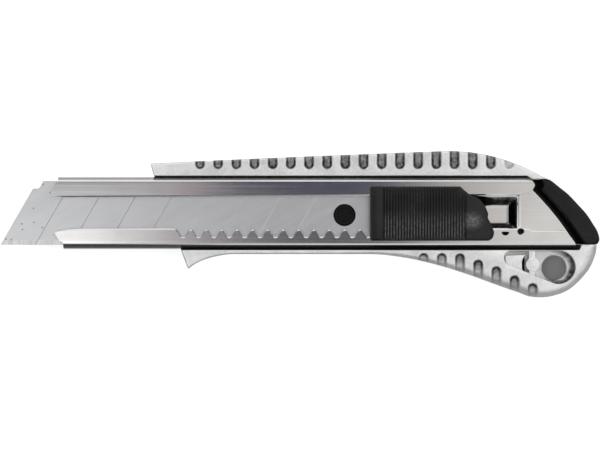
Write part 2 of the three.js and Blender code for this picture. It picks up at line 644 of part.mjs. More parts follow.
// ---- Slider --------------------------------------------------------------------------------
function bladeCarrier() {
  const half = BLADE_WIDTH / 2 - SLIDE_GAP;
  const end = PAD_REAR - 1.8;
  const strip = polygon([
    [PEG_X - CARRIER_NOSE, -half + 1], [PEG_X - CARRIER_NOSE + 1, -half], [end, -half],
    [end - 3.2, 0], [end - 8, half], [PEG_X - CARRIER_NOSE + 1, half], [PEG_X - CARRIER_NOSE, half - 1],
  ]);
  const rear = polygon([
    [BLADE_LENGTH + 0.3, -half], [end, -half], [end - 3.2, 0], [end - 8, half], [BLADE_LENGTH + 0.3, half],
  ]);
  const neckEnd = NECK_X + NECK_LENGTH;
  return plate(strip, CARRIER_Z, CARRIER_Z + CARRIER_THICKNESS)
    .add(plate(rear, CARRIER_Z, CARRIER_BLOCK_TOP))
    .add(disc(PEG_X, HOLE_OFFSET, HOLE_RADIUS - PEG_PLAY, CARRIER_Z, BLADE_Z + BLADE_THICKNESS))
    .add(block(NECK_X, neckEnd, -NECK_WAIST, NECK_WAIST, CARRIER_Z, NECK_TOP))
    .add(block(NECK_X, neckEnd, -NECK_HALF, NECK_HALF, NECK_TOP - 1, NECK_TOP))
    .subtract(disc(NECK_X + NECK_LENGTH * 0.6, 0, RIVET_RADIUS, CARRIER_BLOCK_TOP, NECK_TOP + 1, 16));
}

// A strip of the spring's sheet along a bent line in X and Z.
function stripOutline(line) {
  const offset = (side) => line.map(([x, z], i) => {
    const [ax, az] = line[Math.max(i - 1, 0)];
    const [bx, bz] = line[Math.min(i + 1, line.length - 1)];
    const length = Math.hypot(bx - ax, bz - az);
    const reach = (side * SPRING_SHEET) / 2 / length;
    return [x - (bz - az) * reach, z + (bx - ax) * reach];
  });
  return polygon([...offset(1), ...offset(-1).reverse()]);
}

function lockSpring() {
  const flatZ = NECK_TOP + SLIDE_GAP / 2 + SPRING_SHEET / 2;
  const noseZ = LIP_Z + SHEET / 2 + SPRING_SHEET / 2;
  const rear = NECK_X + NECK_LENGTH - 0.6;
  const bend = NOSE_X + NOSE_HALF_LENGTH + 0.6;
  const leaf = across(stripOutline([[bend, flatZ], [rear, flatZ]]), -SPRING_HALF_WIDTH, SPRING_HALF_WIDTH);
  const noseLine = [
    [bend + 1, flatZ], [bend, flatZ], [NOSE_X + NOSE_HALF_LENGTH, flatZ - 0.4],
    [NOSE_X + 0.3, noseZ + 0.2], [NOSE_X, noseZ], [NOSE_X - 0.3, noseZ + 0.2],
    [NOSE_X - NOSE_HALF_LENGTH, PAD_Z + 0.8],
  ];
  const noseEnd = LOWER_LIP_EDGE - RACK_TIP_DROP - RACK_DEPTH + NOSE_SIDE_PLAY;
  const nose = across(stripOutline(noseLine), noseEnd, -0.5);
  const hole = disc(NECK_X + NECK_LENGTH * 0.6, 0, RIVET_RADIUS, NECK_TOP - 1, NECK_TOP + 2, 16);
  return leaf.add(nose).subtract(hole);
}

function springRivet() {
  const foot = CARRIER_BLOCK_TOP + SLIDE_GAP;
  const seat = NECK_TOP + SLIDE_GAP + SPRING_SHEET;
  const shank = RIVET_RADIUS - RIVET_PLAY;
  return revolve([
    [0, foot], [shank, foot], [shank, seat], [RIVET_HEAD_RADIUS * 0.8, seat],
    [RIVET_HEAD_RADIUS * 0.6, seat + SPRING_RIVET_HEAD], [0, seat + SPRING_RIVET_HEAD],
  ], 16);
}

// The pad's plan: straight sides, a square front, a rear that leans and ends in two steps.
function padOutline() {
  const top = PAD_TOP_SIDE;
  const bottom = -PAD_BOTTOM_SIDE;
  const lean = PAD_LEAN;
  return polygon([
    [PAD_FRONT + 0.6, bottom], [PAD_REAR - 1.7, bottom], [PAD_REAR - 0.2, bottom + 1.3],
    [PAD_REAR, bottom + 2.4], [PAD_REAR - 1.9, bottom + 6.4], [PAD_REAR - 1.6, bottom + 7.6],
    [PAD_REAR - lean + 5.9, top - 4.1], [PAD_REAR - lean + 4.2, top - 2.7],
    [PAD_REAR - lean + 3, top - 2.7], [PAD_REAR - lean, top], [PAD_FRONT + 0.6, top],
    [PAD_FRONT, top - 0.6], [PAD_FRONT, bottom + 0.6],
  ]);
}

// The pad's side profile: a wedge in front, a straight ribbed back, a dome behind.
function padProfile() {
  const shape = new THREE.Shape();
  shape.moveTo(PAD_FRONT, PAD_Z);
  shape.lineTo(PAD_REAR, PAD_Z);
  shape.lineTo(PAD_REAR, PAD_Z + 1.2);
  shape.quadraticCurveTo(PAD_REAR - 2, PAD_TOP, PAD_REAR - 8.5, PAD_TOP);
  shape.lineTo(PAD_FRONT + 3.4, PAD_TOP);
  shape.quadraticCurveTo(PAD_FRONT + 0.6, PAD_TOP, PAD_FRONT, PAD_Z + 1.6);
  shape.closePath();
  return shape;
}

function thumbPad() {
  const side = Math.max(PAD_TOP_SIDE, PAD_BOTTOM_SIDE) + OVERCUT;
  let pad = plate(padOutline(), PAD_Z, PAD_TOP, 0.5).intersect(across(padProfile(), -side, side));
  for (let k = 0; k < RIB_COUNT; k += 1) {
    const x = PAD_FRONT + RIB_START + (k + 0.5) * RIB_PITCH;
    const ribSide = RIB_DEPTH * Math.SQRT2;
    const groove = new THREE.BoxGeometry(ribSide, 2 * side, ribSide).rotateY(Math.PI / 4);
    pad = pad.subtract(solid(groove.translate(x, 0, PAD_TOP)));
  }
  const play = PAD_TRAVEL + SLIDE_GAP;
  const neckEnd = NECK_X + NECK_LENGTH;
  const low = PAD_Z - OVERCUT;
  const noseEnd = LOWER_LIP_EDGE - RACK_TIP_DROP - RACK_DEPTH;
  const bayFront = NOSE_X - NOSE_HALF_LENGTH - SPRING_SHEET - play;
  return pad
    .subtract(block(NECK_X - play, neckEnd + play, -NECK_WAIST - 0.3, NECK_WAIST + 0.3, low, CAVITY_TOP))
    .subtract(block(
      NECK_X - play, neckEnd + play, -NECK_HALF - 0.3, NECK_HALF + 0.3, NECK_TOP - 1.3, CAVITY_TOP,
    ))
    .subtract(block(bayFront, NECK_X, noseEnd, NECK_HALF + 0.3, low, CAVITY_TOP));
}

// ---- End cap ----------------------------------------------------------------------------------
function capOutline() {
  const rear = CASTING_REAR + CAP_OVERHANG;
  const top = TAIL_Y - CAP_GAP;
  const bottom = CHANNEL_BOTTOM + HEEL_RISE + CAP_GAP;
  const inner = tailCurve(CAP_GAP).filter(([, y]) => y < top - 0.4 && y > bottom + 0.4);
  const foot = inner[inner.length - 1][0] + 2;
  const head = inner[0][0] - 1;
  const shape = new THREE.Shape();
  shape.moveTo(foot, bottom);
  shape.lineTo(rear - 1.2, bottom);
  shape.lineTo(rear, bottom + 0.9);
  curveThrough(shape, [
    [rear - 0.6, bottom + 3.4],
    [rear - 3.7, bottom + 8.4],
    [rear - 8.9, bottom + 14],
    [rear - 13.6, top - 0.3],
  ]);
  shape.lineTo(head + 1, top);
  inner.forEach(([x, y]) => shape.lineTo(x, y));
  shape.closePath();
  return shape;
}

function endCap() {
  const bottomZ = BACK_PLATE + TONGUE_PLAY;
  const topZ = LEDGE_Z - TONGUE_PLAY;
  const half = Math.min(HOLLOW_HALF, -CHANNEL_BOTTOM - HEEL_RISE) - TONGUE_PLAY;
  const start = GUIDE_REAR_TOP + CAP_GAP - TONGUE_LENGTH / 2;
  // The tongue forks round the pocket that is pressed into the guide.
  const forkHalf = POCKET_WIDTH / 2 + SHEET / 2 + TONGUE_PLAY;
  const forkEnd = POCKET_REAR + SHEET / 2 + TONGUE_PLAY;
  const tongue = block(start, GUIDE_REAR, -half, half, bottomZ, topZ)
    .subtract(block(start - OVERCUT, forkEnd, -forkHalf, forkHalf, 0, FACE_Z))
    .subtract(plate(tailCutOutline(), bottomZ - OVERCUT, topZ + OVERCUT));
  return plate(capOutline(), CAP_STEP, FACE_Z - CAP_STEP, 0.8).add(tongue);
}

// Everything outside the cap's own band, so that the tongue doesn't show past it.
function tailCutOutline() {
  const line = tailCurve(CAP_BAND * 0.5);
  const far = GUIDE_REAR + 10;
  return polygon([...line, [far, line[line.length - 1][1]], [far, line[0][1]]]);
}

// ---- Assembly -----------------------------------------------------------------------------------
function piece(group, name, made, material, x = 0, y = 0) {
  const geometry = made.isBufferGeometry ? made : geometryOf(made);
  const mesh = new THREE.Mesh(geometry, material);
  mesh.name = name;
  mesh.position.set(x, y, 0);
  group.add(mesh);
  return mesh;
}

const handle = new THREE.Group();
piece(handle, 'handle_casting', handleCasting(), CAST_ALLOY);
piece(handle, 'blade_guide', bladeGuide(), STAINLESS);
piece(handle, 'guide_rivet_front', frontRivet(), RIVET_STEEL, RIVET_FRONT_X);
piece(handle, 'guide_rivet_rear', rearRivet(), RIVET_STEEL, RIVET_REAR_X);

const slider = new THREE.Group();
piece(slider, 'snap_blade', snapBlade(), BLADE_STEEL);
piece(slider, 'blade_carrier', bladeCarrier(), BLACK_PLASTIC);
piece(slider, 'lock_spring', lockSpring(), SPRING_STEEL);
piece(slider, 'spring_rivet', springRivet(), RIVET_STEEL, NECK_X + NECK_LENGTH * 0.6);
piece(slider, 'thumb_pad', thumbPad(), BLACK_PLASTIC);

const tail = new THREE.Group();
piece(tail, 'end_cap', endCap(), CAP_PLASTIC);

const knife = new THREE.Group();
knife.add(handle, slider, tail);

// The origin is the middle of the footprint, on the surface that the knife lies on.
const box = new THREE.Box3().setFromObject(knife);
knife.position.set(-(box.min.x + box.max.x) / 2, -(box.min.y + box.max.y) / 2, -box.min.z);

export default knife;
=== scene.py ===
"""A snap-off utility knife lying flat: cast handle, steel channel guide, segmented blade,
ribbed thumb pad and black end cap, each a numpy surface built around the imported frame."""
import math

import bmesh
import bpy
import numpy as np
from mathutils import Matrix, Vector


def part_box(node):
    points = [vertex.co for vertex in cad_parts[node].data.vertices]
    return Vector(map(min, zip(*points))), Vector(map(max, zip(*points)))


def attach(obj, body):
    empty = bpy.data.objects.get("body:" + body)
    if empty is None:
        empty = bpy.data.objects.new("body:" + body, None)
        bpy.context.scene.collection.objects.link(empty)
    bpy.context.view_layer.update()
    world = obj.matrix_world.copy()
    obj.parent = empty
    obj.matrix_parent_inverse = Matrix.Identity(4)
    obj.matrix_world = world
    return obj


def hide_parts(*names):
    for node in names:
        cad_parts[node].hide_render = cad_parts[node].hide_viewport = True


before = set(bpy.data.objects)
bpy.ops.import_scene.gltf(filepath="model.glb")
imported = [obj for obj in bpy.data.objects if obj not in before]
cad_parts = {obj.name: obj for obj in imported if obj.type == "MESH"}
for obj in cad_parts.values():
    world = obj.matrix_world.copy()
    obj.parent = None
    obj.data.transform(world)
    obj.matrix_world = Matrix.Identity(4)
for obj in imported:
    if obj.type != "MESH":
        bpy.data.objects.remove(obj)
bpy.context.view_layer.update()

MM = 0.001

# ---- The frame's own sizes ---------------------------------------------------------------
# Shapes are worked out in millimetres, X from the blade's tip and Y from its centre line.
_tip, _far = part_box("snap_blade")
ORIGIN = np.array([_tip.x, (_tip.y + _far.y) / 2, 0.0]) / MM


def span(node):
    """A CAD node's lowest and highest corner, in the knife's own millimetres."""
    low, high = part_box(node)
    return np.array(low) / MM - ORIGIN, np.array(high) / MM - ORIGIN


BLADE_LOW, BLADE_HIGH = span("snap_blade")
GUIDE_LOW, GUIDE_HIGH = span("blade_guide")
CAST_LOW, CAST_HIGH = span("handle_casting")
PAD_LOW, PAD_HIGH = span("thumb_pad")
CAP_LOW, CAP_HIGH = span("end_cap")
CARRIER_LOW, CARRIER_HIGH = span("blade_carrier")
RIVET_FRONT_LOW, RIVET_FRONT_HIGH = span("guide_rivet_front")
RIVET_REAR_LOW, RIVET_REAR_HIGH = span("guide_rivet_rear")

SHEET = 0.8  # the guide's sheet
POCKET_SINK = 1.8  # depth of the dish pressed into the guide's floor
LEAST = 1e-6  # keeps a division clear of zero
BEYOND = 3  # how far a cutter runs past the face that it opens

HALF = GUIDE_HIGH[1]
FLOOR_Z = GUIDE_LOW[2] + POCKET_SINK + SHEET  # the seen face of the guide's floor
GUIDE_TOP = GUIDE_HIGH[2]
LEDGE_Z = GUIDE_LOW[2] + POCKET_SINK - 0.1
FACE_Z = CAST_HIGH[2]
CHANNEL_TOP = HALF + 0.9
CHANNEL_BOTTOM = -HALF - 0.35
SPINE_WALL = HALF + 0.38  # Y of the spine bar's wall, beside the guide
TAIL_Y = CHANNEL_TOP - 1.45
HEEL_RISE = 1.45
REAR = CAST_HIGH[0]
FRONT = CAST_LOW[0]
HEEL_WALL = REAR - 4.6  # where the channel's floor steps up over the heel
GUIDE_REAR = GUIDE_HIGH[0]
TAIL_SLANT = 16.4
TAIL_BOW = 1.19
UPPER_EDGE = HALF - 5.5
LOWER_EDGE = -HALF + 5.75
RACK_PITCH = 4.32
PLACES, PLACES_AHEAD = 20, 15  # lock places in all, and ahead of the one in use
# The bends' radii along the sheet's middle line: at the upper lip, the lower lip and the floor.
BEND_UPPER = 1.15
BEND_LOWER = 1.5
BEND_LOW = SHEET / 2 + 0.5
TONGUE_FROM = REAR - 24.9  # where the upper lip's edge starts to sweep up to its rounded end
TONGUE_TIP = REAR - 17.6
TONGUE_Y = HALF - 2.55
NECK_FROM = PAD_LOW[0] + 15.64
NECK_TO = NECK_FROM + 11.5
HOLE_X = BLADE_HIGH[0] - 10
HOLE_Y = -0.6
GROUND = 1.3  # height of the blade's honed band


# ---- Small numpy tools -------------------------------------------------------------------
def smooth(low, high, value):
    """The smooth step 3t2 - 2t3 of value between low and high."""
    t = np.clip((np.asarray(value, float) - low) / (high - low), 0, 1)
    return t * t * (3 - 2 * t)


def bump(value, middle, width):
    """A rounded hill of height 1, zero from `width` away."""
    t = np.clip(1 - ((np.asarray(value, float) - middle) / width) ** 2, 0, 1)
    return t * t


def quarter(t):
    """A quarter circle's fall from 0 to 1: one less the root of one less t squared."""
    return 1 - np.sqrt(1 - np.clip(t, 0, 1) ** 2)


def even(points, spacing, closed=False):
    """A polyline walked at even steps of about `spacing`."""
    line = np.asarray(points, float)
    if closed:
        line = np.vstack([line, line[:1]])
    walked = np.concatenate([[0], np.cumsum(np.hypot(*np.diff(line, axis=0).T))])
    count = max(2, int(round(walked[-1] / spacing)))
    places = np.linspace(0, walked[-1], count + 1)
    found = np.stack([np.interp(places, walked, line[:, k]) for k in (0, 1)], 1)
    return found[:-1] if closed else found


def spline(points, spacing=0.2):
    """A Catmull-Rom curve through the points, walked at even steps."""
    p = np.asarray(points, float)
    p = np.vstack([2 * p[0] - p[1], p, 2 * p[-1] - p[-2]])
    t = np.linspace(0, 1, 24, endpoint=False)[:, None]
    a, b, c, d = p[:-3, None], p[1:-2, None], p[2:-1, None], p[3:, None]
    curve = 0.5 * (2 * b + (c - a) * t + (2 * a - 5 * b + 4 * c - d) * t**2
                   + (3 * b - a - 3 * c + d) * t**3)
    return even(np.vstack([curve.reshape(-1, 2), p[-2:-1]]), spacing)


def eased(line, reach):
    """A closed line with its corners rounded: each point becomes the mean of its neighbours."""
    window = np.arange(-reach, reach + 1)
    weights = np.cos(window / (reach + 1) * math.pi / 2) ** 2
    around = line[(np.arange(len(line))[:, None] + window) % len(line)]
    return (around * weights[None, :, None]).sum(1) / weights.sum()


def outward(line):
    """Unit normals of a closed line that runs anticlockwise."""
    step = np.roll(line, -1, 0) - np.roll(line, 1, 0)
    normal = np.stack([step[:, 1], -step[:, 0]], 1)
    return normal / np.maximum(np.hypot(*normal.T), LEAST)[:, None]


def anticlockwise(line):
    """The line itself, or turned about where its shoelace area is negative."""
    x, y = np.asarray(line, float).T
    area = np.sum(x * np.roll(y, -1) - y * np.roll(x, -1))
    return line if area > 0 else line[::-1]


def distance(points, line, closed=True):
    """How far each point is from a polyline, by its segments, in chunks."""
    a = line
    b = np.roll(line, -1, 0) if closed else line[1:]
    a = a if closed else line[:-1]
    along = b - a
    size = np.maximum((along**2).sum(1), LEAST)
    flat = points.reshape(-1, 2)
    found = np.empty(len(flat))
    for start in range(0, len(flat), 2000):
        part = flat[start:start + 2000, None]
        t = np.clip(((part - a) * along).sum(2) / size, 0, 1)
        gap = part - a - t[..., None] * along
        found[start:start + 2000] = np.hypot(*np.moveaxis(gap, 2, 0)).min(1)
    return found.reshape(points.shape[:-1])


# ---- From arrays to pieces ---------------------------------------------------------------
def grid_faces(rows, columns, close_rows=False, close_columns=False):
    """Quads of a grid of points, numbered row by row."""
    i = np.arange(rows if close_rows else rows - 1)[:, None]
    j = np.arange(columns if close_columns else columns - 1)[None, :]
    i2, j2 = (i + 1) % rows, (j + 1) % columns
    quads = np.stack([i * columns + j, i2 * columns + j, i2 * columns + j2, i * columns + j2], -1)
    return quads.reshape(-1, 4)


class Shell:
    """Patches of one closed surface, welded along the edges that they share."""

    def __init__(self):
        self.points, self.faces, self.count = [], [], 0

    def grid(self, points, close_rows=False, close_columns=False):
        """Adds a patch of quads over a grid of points."""
        rows, columns = points.shape[:2]
        quads = grid_faces(rows, columns, close_rows, close_columns) + self.count
        self.faces += quads.tolist()
        return self._keep(points.reshape(-1, 3))

    def lid(self, ring):
        """One flat face over a ring of points."""
        self.faces.append(list(range(self.count, self.count + len(ring))))
        return self._keep(np.asarray(ring, float).reshape(-1, 3))

    def _keep(self, points):
        self.points.append(points)
        self.count += len(points)
        return self

    def mesh(self, name):
        """All patches as one welded mesh in the frame's metres, its faces turned outwards."""
        places = (np.vstack(self.points) + ORIGIN) * MM
        made = bpy.data.meshes.new(name)
        made.from_pydata(places.tolist(), [], self.faces)
        work = bmesh.new()
        work.from_mesh(made)
        bmesh.ops.remove_doubles(work, verts=work.verts, dist=2e-7)
        bmesh.ops.dissolve_degenerate(work, edges=work.edges, dist=1e-7)
        bmesh.ops.recalc_face_normals(work, faces=work.faces)
        work.to_mesh(made)
        work.free()
        return made

    def piece(self, name):
        """The mesh in an object of its own, at the origin."""
        made = bpy.data.objects.new(name, self.mesh(name))
        bpy.context.scene.collection.objects.link(made)
        return made


def crease(piece, degrees=33):
    """Smooth shading, broken only at edges that turn more than so many degrees."""
    work = bmesh.new()
    work.from_mesh(piece.data)
    limit = math.radians(degrees)
    for face in work.faces:
        face.smooth = True
    for edge in work.edges:
        edge.smooth = len(edge.link_faces) == 2 and edge.calc_face_angle(0) < limit
    work.to_mesh(piece.data)
    work.free()


def settle(piece):
    """Bakes a piece's modifiers into its mesh."""
    bpy.context.view_layer.update()
    seen = piece.evaluated_get(bpy.context.evaluated_depsgraph_get())
    made = bpy.data.meshes.new_from_object(seen)
    piece.modifiers.clear()
    piece.data = made


def carve(piece, tool, way="DIFFERENCE"):
    """Cuts or joins a solid by another, which is used up."""
    step = piece.modifiers.new(way, "BOOLEAN")
    step.operation, step.solver, step.object = way, "MANIFOLD", tool
    settle(piece)
    bpy.data.objects.remove(tool)


def prism(name, outline, levels):
    """A plan outline carried up through (z, grow) levels, each grown outwards by `grow`."""
    line = anticlockwise(np.asarray(outline, float))
    normal = outward(line)
    rings = np.stack([
        np.column_stack([line + grow * normal, np.full(len(line), z)]) for z, grow in levels
    ])
    shell = Shell().grid(rings, close_columns=True)
    return shell.lid(rings[0]).lid(rings[-1]).piece(name)


def flare(low, face, radius, degrees=68, steps=5):
    """Levels of a cutter that leaves a rounded lip where it meets a face."""
    turn = np.radians(np.linspace(0, degrees, steps))
    base = face - radius * math.sin(turn[-1])
    lip = [(base + radius * math.sin(a), radius * (1 - math.cos(a))) for a in turn]
    rise = 0.25
    return [(low, 0.0)] + lip + [(face + rise, lip[-1][1] + rise * math.tan(turn[-1]))]


def dome(low, top, radius, steps=5):
    """Levels of a boss whose upper rim is rounded inwards."""
    turn = np.linspace(0, math.pi / 2, steps)
    rim = [(top - radius + radius * math.sin(a), radius * (math.cos(a) - 1)) for a in turn]
    return [(low, 0.0)] + rim


def circle(x, y, radius, count=48):
    """Points evenly round a circle."""
    turn = np.arange(count) / count * 2 * math.pi
    return np.stack([x + radius * np.cos(turn), y + radius * np.sin(turn)], 1)


def rounded(corners, radius, steps=6):
    """A closed polygon with each corner turned by a quadratic arc."""
    p = np.asarray(corners, float)
    before, after = np.roll(p, 1, 0) - p, np.roll(p, -1, 0) - p
    reach = np.minimum(radius, 0.45 * np.minimum(np.hypot(*before.T), np.hypot(*after.T)))
    a = p + before / np.hypot(*before.T)[:, None] * reach[:, None]
    b = p + after / np.hypot(*after.T)[:, None] * reach[:, None]
    t = np.linspace(0, 1, steps)[None, :, None]
    arcs = (1 - t) ** 2 * a[:, None] + 2 * t * (1 - t) * p[:, None] + t**2 * b[:, None]
    return arcs.reshape(-1, 2)


def block(x0, x1, y, radius):
    """A rectangle from x0 to x1 and as far as y on both sides, its corners rounded."""
    return rounded([[x0, -y], [x1, -y], [x1, y], [x0, y]], radius)


def points_of(piece):
    """X, Y and Z of a piece's points, in the knife's own millimetres."""
    flat = np.empty(len(piece.data.vertices) * 3)
    piece.data.vertices.foreach_get("co", flat)
    return (flat.reshape(-1, 3) / MM - ORIGIN).T


def write_layer(piece, name, values):
    """Writes one number for each of a piece's points, for its material to read."""
    layer = piece.data.attributes.new(name, "FLOAT", "POINT")
    layer.data.foreach_set("value", values.astype(np.float32))


def lathe(profile, x, y, count=40):
    """A (radius, z) profile turned about an upright axis; it starts and ends on the axis."""
    turn = np.arange(count) / count * 2 * math.pi
    p = np.asarray(profile, float)
    around = np.stack([
        x + p[:, :1] * np.cos(turn), y + p[:, :1] * np.sin(turn), np.repeat(p[:, 1:], count, 1),
    ], -1)
    return Shell().grid(around, close_columns=True)


# ---- Shared plan curves ------------------------------------------------------------------
def tail_line(y, away=0.0):
    """X of the guide's slanting tail at height y, a slant that is bowed outwards."""
    t = (HALF - np.asarray(y, float)) / (2 * HALF)
    return GUIDE_REAR - TAIL_SLANT * (1 - t) + TAIL_BOW * np.sin(math.pi * np.clip(t, 0, 1)) + away


def spine_thickness(x):
    """The spine bar's reach above the channel: a slow rise to its crown, then an elliptic fall."""
    crown, tail = REAR - 42, REAR - 15.5
    at_front, swell, below = 3.05, 3.5, 0.6
    t = (x - FRONT) / (crown - FRONT)
    u = np.clip((x - crown) / (tail - crown), 0, 1)
    rise = at_front + swell * (1.12 * t - 0.12 * t * t)
    return np.where(x <= crown, rise, (at_front + swell + below) * (1 - u**2.1) - below)


def belly_thickness(x):
    """The belly's reach below the channel, flat at first and then swelling to the heel."""
    start, run, least, swell = REAR - 63.9, 46.9, 1.2, 12
    t = np.clip((x - start) / run, 0, 1)
    return least + swell * t**1.7 * (1.18 - 0.18 * t**6)


# ---- Handle casting ----------------------------------------------------------------------
def casting_outline():
    """The handle's silhouette, anticlockwise from the top of its slanting front end."""
    hook = FRONT + 10.7
    belly = CHANNEL_BOTTOM
    t = np.linspace(0, 1, 16)[:, None]
    ends = np.array([[hook, belly - 5.5], [hook + 3.3, belly - 2.1], [FRONT + 22.5, belly - 1.2]])
    curl = (1 - t) ** 2 * ends[0] + 2 * t * (1 - t) * ends[1] + t**2 * ends[2]
    run = np.linspace(FRONT + 24, REAR - 22, 60)
    under = np.stack([run, belly - belly_thickness(run)], 1)
    low = belly - 13.2
    heel = spline([
        under[-1], [REAR - 18.5, low], [REAR - 13.4, low], [REAR - 7.8, low + 2],
        [REAR - 2.7, low + 7], [REAR - 0.5, low + 11.5], [REAR, belly + HEEL_RISE],
    ])
    back = np.linspace(REAR - 15.5, FRONT, 90)
    spine = np.stack([back, CHANNEL_TOP + spine_thickness(back)], 1)
    corner = [[FRONT + 0.9, CHANNEL_TOP], [FRONT + 8.5, belly + 0.4]]
    tail = [[REAR - 13.6, TAIL_Y]]
    whole = np.vstack([corner, curl, under[:-1], heel, tail, spine])
    return eased(even(whole, 0.25, closed=True), 2)


SCOOP_PITCH = 5.104
SCOOP_HALF = 1.45  # half a scoop's width
# Each scoop is (its middle in X, the side it is on, its reach). A spine scoop's reach is how far
# from the channel it ends, and a belly scoop's is how far in from the rim it runs.
SPINE_SCOOPS = [(REAR - 111.7 + SCOOP_PITCH * k, 1, 1.25) for k in range(18)]
BELLY_SCOOPS = [(REAR - 48.9 + SCOOP_PITCH * k, -1, 5.2 - 0.75 * max(0, k - 4)) for k in range(7)]


def scoops(x, y):
    """Depth and painted shade of the thumb-nail scoops: each a slot across its bar, with one round end
    inwards and the other open at the rim; the painted shade lies along its walls and at the inner end."""
    depth, shade = np.zeros_like(x), np.zeros_like(x)
    for middle, side, reach in SPINE_SCOOPS + BELLY_SCOOPS:
        if side > 0:
            thick = float(spine_thickness(np.array(middle)))
            inner, outer = CHANNEL_TOP + min(reach, thick - 0.6), CHANNEL_TOP + thick
        else:
            thick = float(belly_thickness(np.array(middle)))
            inner, outer = CHANNEL_BOTTOM - max(0.8, thick - reach), CHANNEL_BOTTOM - thick
        length = abs(outer - inner)
        start = inner + side * SCOOP_HALF
        away = np.hypot(x - middle, np.where((y - start) * side < 0, y - start, 0)) / SCOOP_HALF
        along = np.clip((y - inner) * side / length, 0, 1)
        near = np.abs(y - inner) < length + 1.5
        slot = (1 - smooth(0.45, 1.06, away)) * near
        fainter = 0.5 if middle > REAR - 26 and side > 0 else 1.0
        depth = np.maximum(depth, fainter * (1.7 - 0.7 * along) * min(1, 0.35 + length / 5) * slot)
        # painted shade in the scoop: darker along its walls and towards its inner end
        if side > 0:
            scoop_shade = fainter * (0.74 + 0.2 * smooth(0.3, 0.75, away) + 0.12 * (1 - along))
        else:
            scoop_shade = 1.05 - 1.0 * along + 0.15 * smooth(0.3, 0.75, away)
        shade = np.maximum(shade, scoop_shade * (1 - smooth(0.8, 1.02, away)) * near)
    return depth, shade


def rim_radius(x, y):
    """How softly the outer rim is rounded: crisp along the spine, full round the heel."""
    heel = smooth(REAR - 60, REAR - 12, x) * smooth(CHANNEL_BOTTOM + 8, CHANNEL_BOTTOM - 4, y)
    belly = smooth(REAR - 78, REAR - 50, x) * smooth(2, -8, y)
    return 0.55 + 0.9 * belly + 1.85 * heel


def casting_face(line, target, offsets, upper):
    """One broad face as rows that step inwards from the silhouette; z follows the rim's
    rounding, the scoops and a faint unevenness of the casting."""
    way = target - line
    way /= np.hypot(*way.T)[:, None]
    plan = line[:, None] + way[:, None] * offsets[None, :, None]
    edge = distance(plan, line)
    edge[:, 0] = 0
    x, y = plan[..., 0], plan[..., 1]
    radius = rim_radius(x, y) if upper else np.minimum(rim_radius(x, y), 1.6)
    inside = np.clip(radius - edge, 0, None)
    drop = radius - np.sqrt(np.maximum(radius**2 - inside**2, 0))
    wave = 0.03 * np.sin(x * 0.55 + 1.3 * np.sin(y * 0.7)) * np.cos(y * 0.9 + 0.21 * x)
    fade = smooth(offsets[-1], offsets[-1] - 2, offsets)[None, :] * smooth(0, 1, edge)
    drop = drop + scoops(x, y)[0] + wave * fade * 0.6
    z = np.clip(FACE_Z - drop if upper else drop, 0, FACE_Z)
    return np.stack([x, y, z], -1)


PARTING = 0.1  # how proud the mould's parting line stands


def casting_blank():
    """The uncut handle: two faces that step inwards from one silhouette, and the rim between
    them, with the parting line as a narrow bell curve half way up."""
    line = casting_outline()
    normal = outward(line)
    line = line - (PARTING + 0.002) * normal
    aim_x = np.interp(line[:, 0], [FRONT, REAR], [FRONT + 14, REAR - 16])
    blend = smooth(0, 1, (aim_x - FRONT - 14) / (REAR - FRONT - 30))
    target = np.stack([aim_x, -5 * blend], 1)
    rim = [0, 0.02, 0.08, 0.18, 0.32, 0.5, 0.72, 0.98, 1.25]
    offsets = np.concatenate([rim, np.arange(1.55, 7.8, 0.31)])
    top = casting_face(line, target, offsets, True)
    bottom = casting_face(line, target, offsets, False)
    rise = np.array([0, 0.2, 0.4, 0.47, 0.5, 0.53, 0.6, 0.8, 1.0])
    proud = PARTING * np.exp(-(((rise - 0.5) / 0.03) ** 2))
    z = bottom[:, :1, 2] + (top[:, :1, 2] - bottom[:, :1, 2]) * rise
    wall = np.concatenate([line[:, None] + normal[:, None] * proud[None, :, None], z[..., None]], -1)
    shell = Shell().grid(top, close_rows=True).grid(bottom, close_rows=True)
    shell.grid(wall, close_rows=True).lid(top[:, -1]).lid(bottom[:, -1])
    return shell.piece("cast_handle")


def channel_plan():
    """The straight trough that the guide lies in, with its step over the heel."""
    ahead, behind, heel_y = FRONT - BEYOND, REAR + BEYOND, CHANNEL_BOTTOM + HEEL_RISE
    return even([
        [ahead, CHANNEL_BOTTOM], [HEEL_WALL - 0.5, CHANNEL_BOTTOM], [HEEL_WALL, heel_y],
        [behind, heel_y], [behind, TAIL_Y], [REAR - 18.5, TAIL_Y],
        [REAR - 19.8, SPINE_WALL], [ahead, SPINE_WALL],
    ], 0.5, closed=True)


def cap_bay_plan():
    """The cap's place: all that lies behind the guide's tail, down to the heel."""
    behind, heel_y = REAR + BEYOND, CHANNEL_BOTTOM + HEEL_RISE
    y = np.linspace(TAIL_Y - 0.05, heel_y + 0.05, 24)
    return np.vstack([
        [[float(tail_line(TAIL_Y)) - 0.5, TAIL_Y]], np.stack([tail_line(y), y], 1),
        [[HEEL_WALL, heel_y], [behind, heel_y], [behind, TAIL_Y]],
    ])


# The teardrop pocket: its top, its big circle's centre, how far off the small one lies, and both
# radii; and the hole for a lanyard through its floor.
TEAR_TOP = CHANNEL_BOTTOM - 0.3
TEAR_X = REAR - 10.9
TEAR_SPAN = 13.4
TEAR_SMALL, TEAR_BIG = 2.0, 4.6
LANYARD_X, LANYARD_Y, LANYARD_RADIUS = TEAR_X - 1, TEAR_TOP - 4.8, 3.4


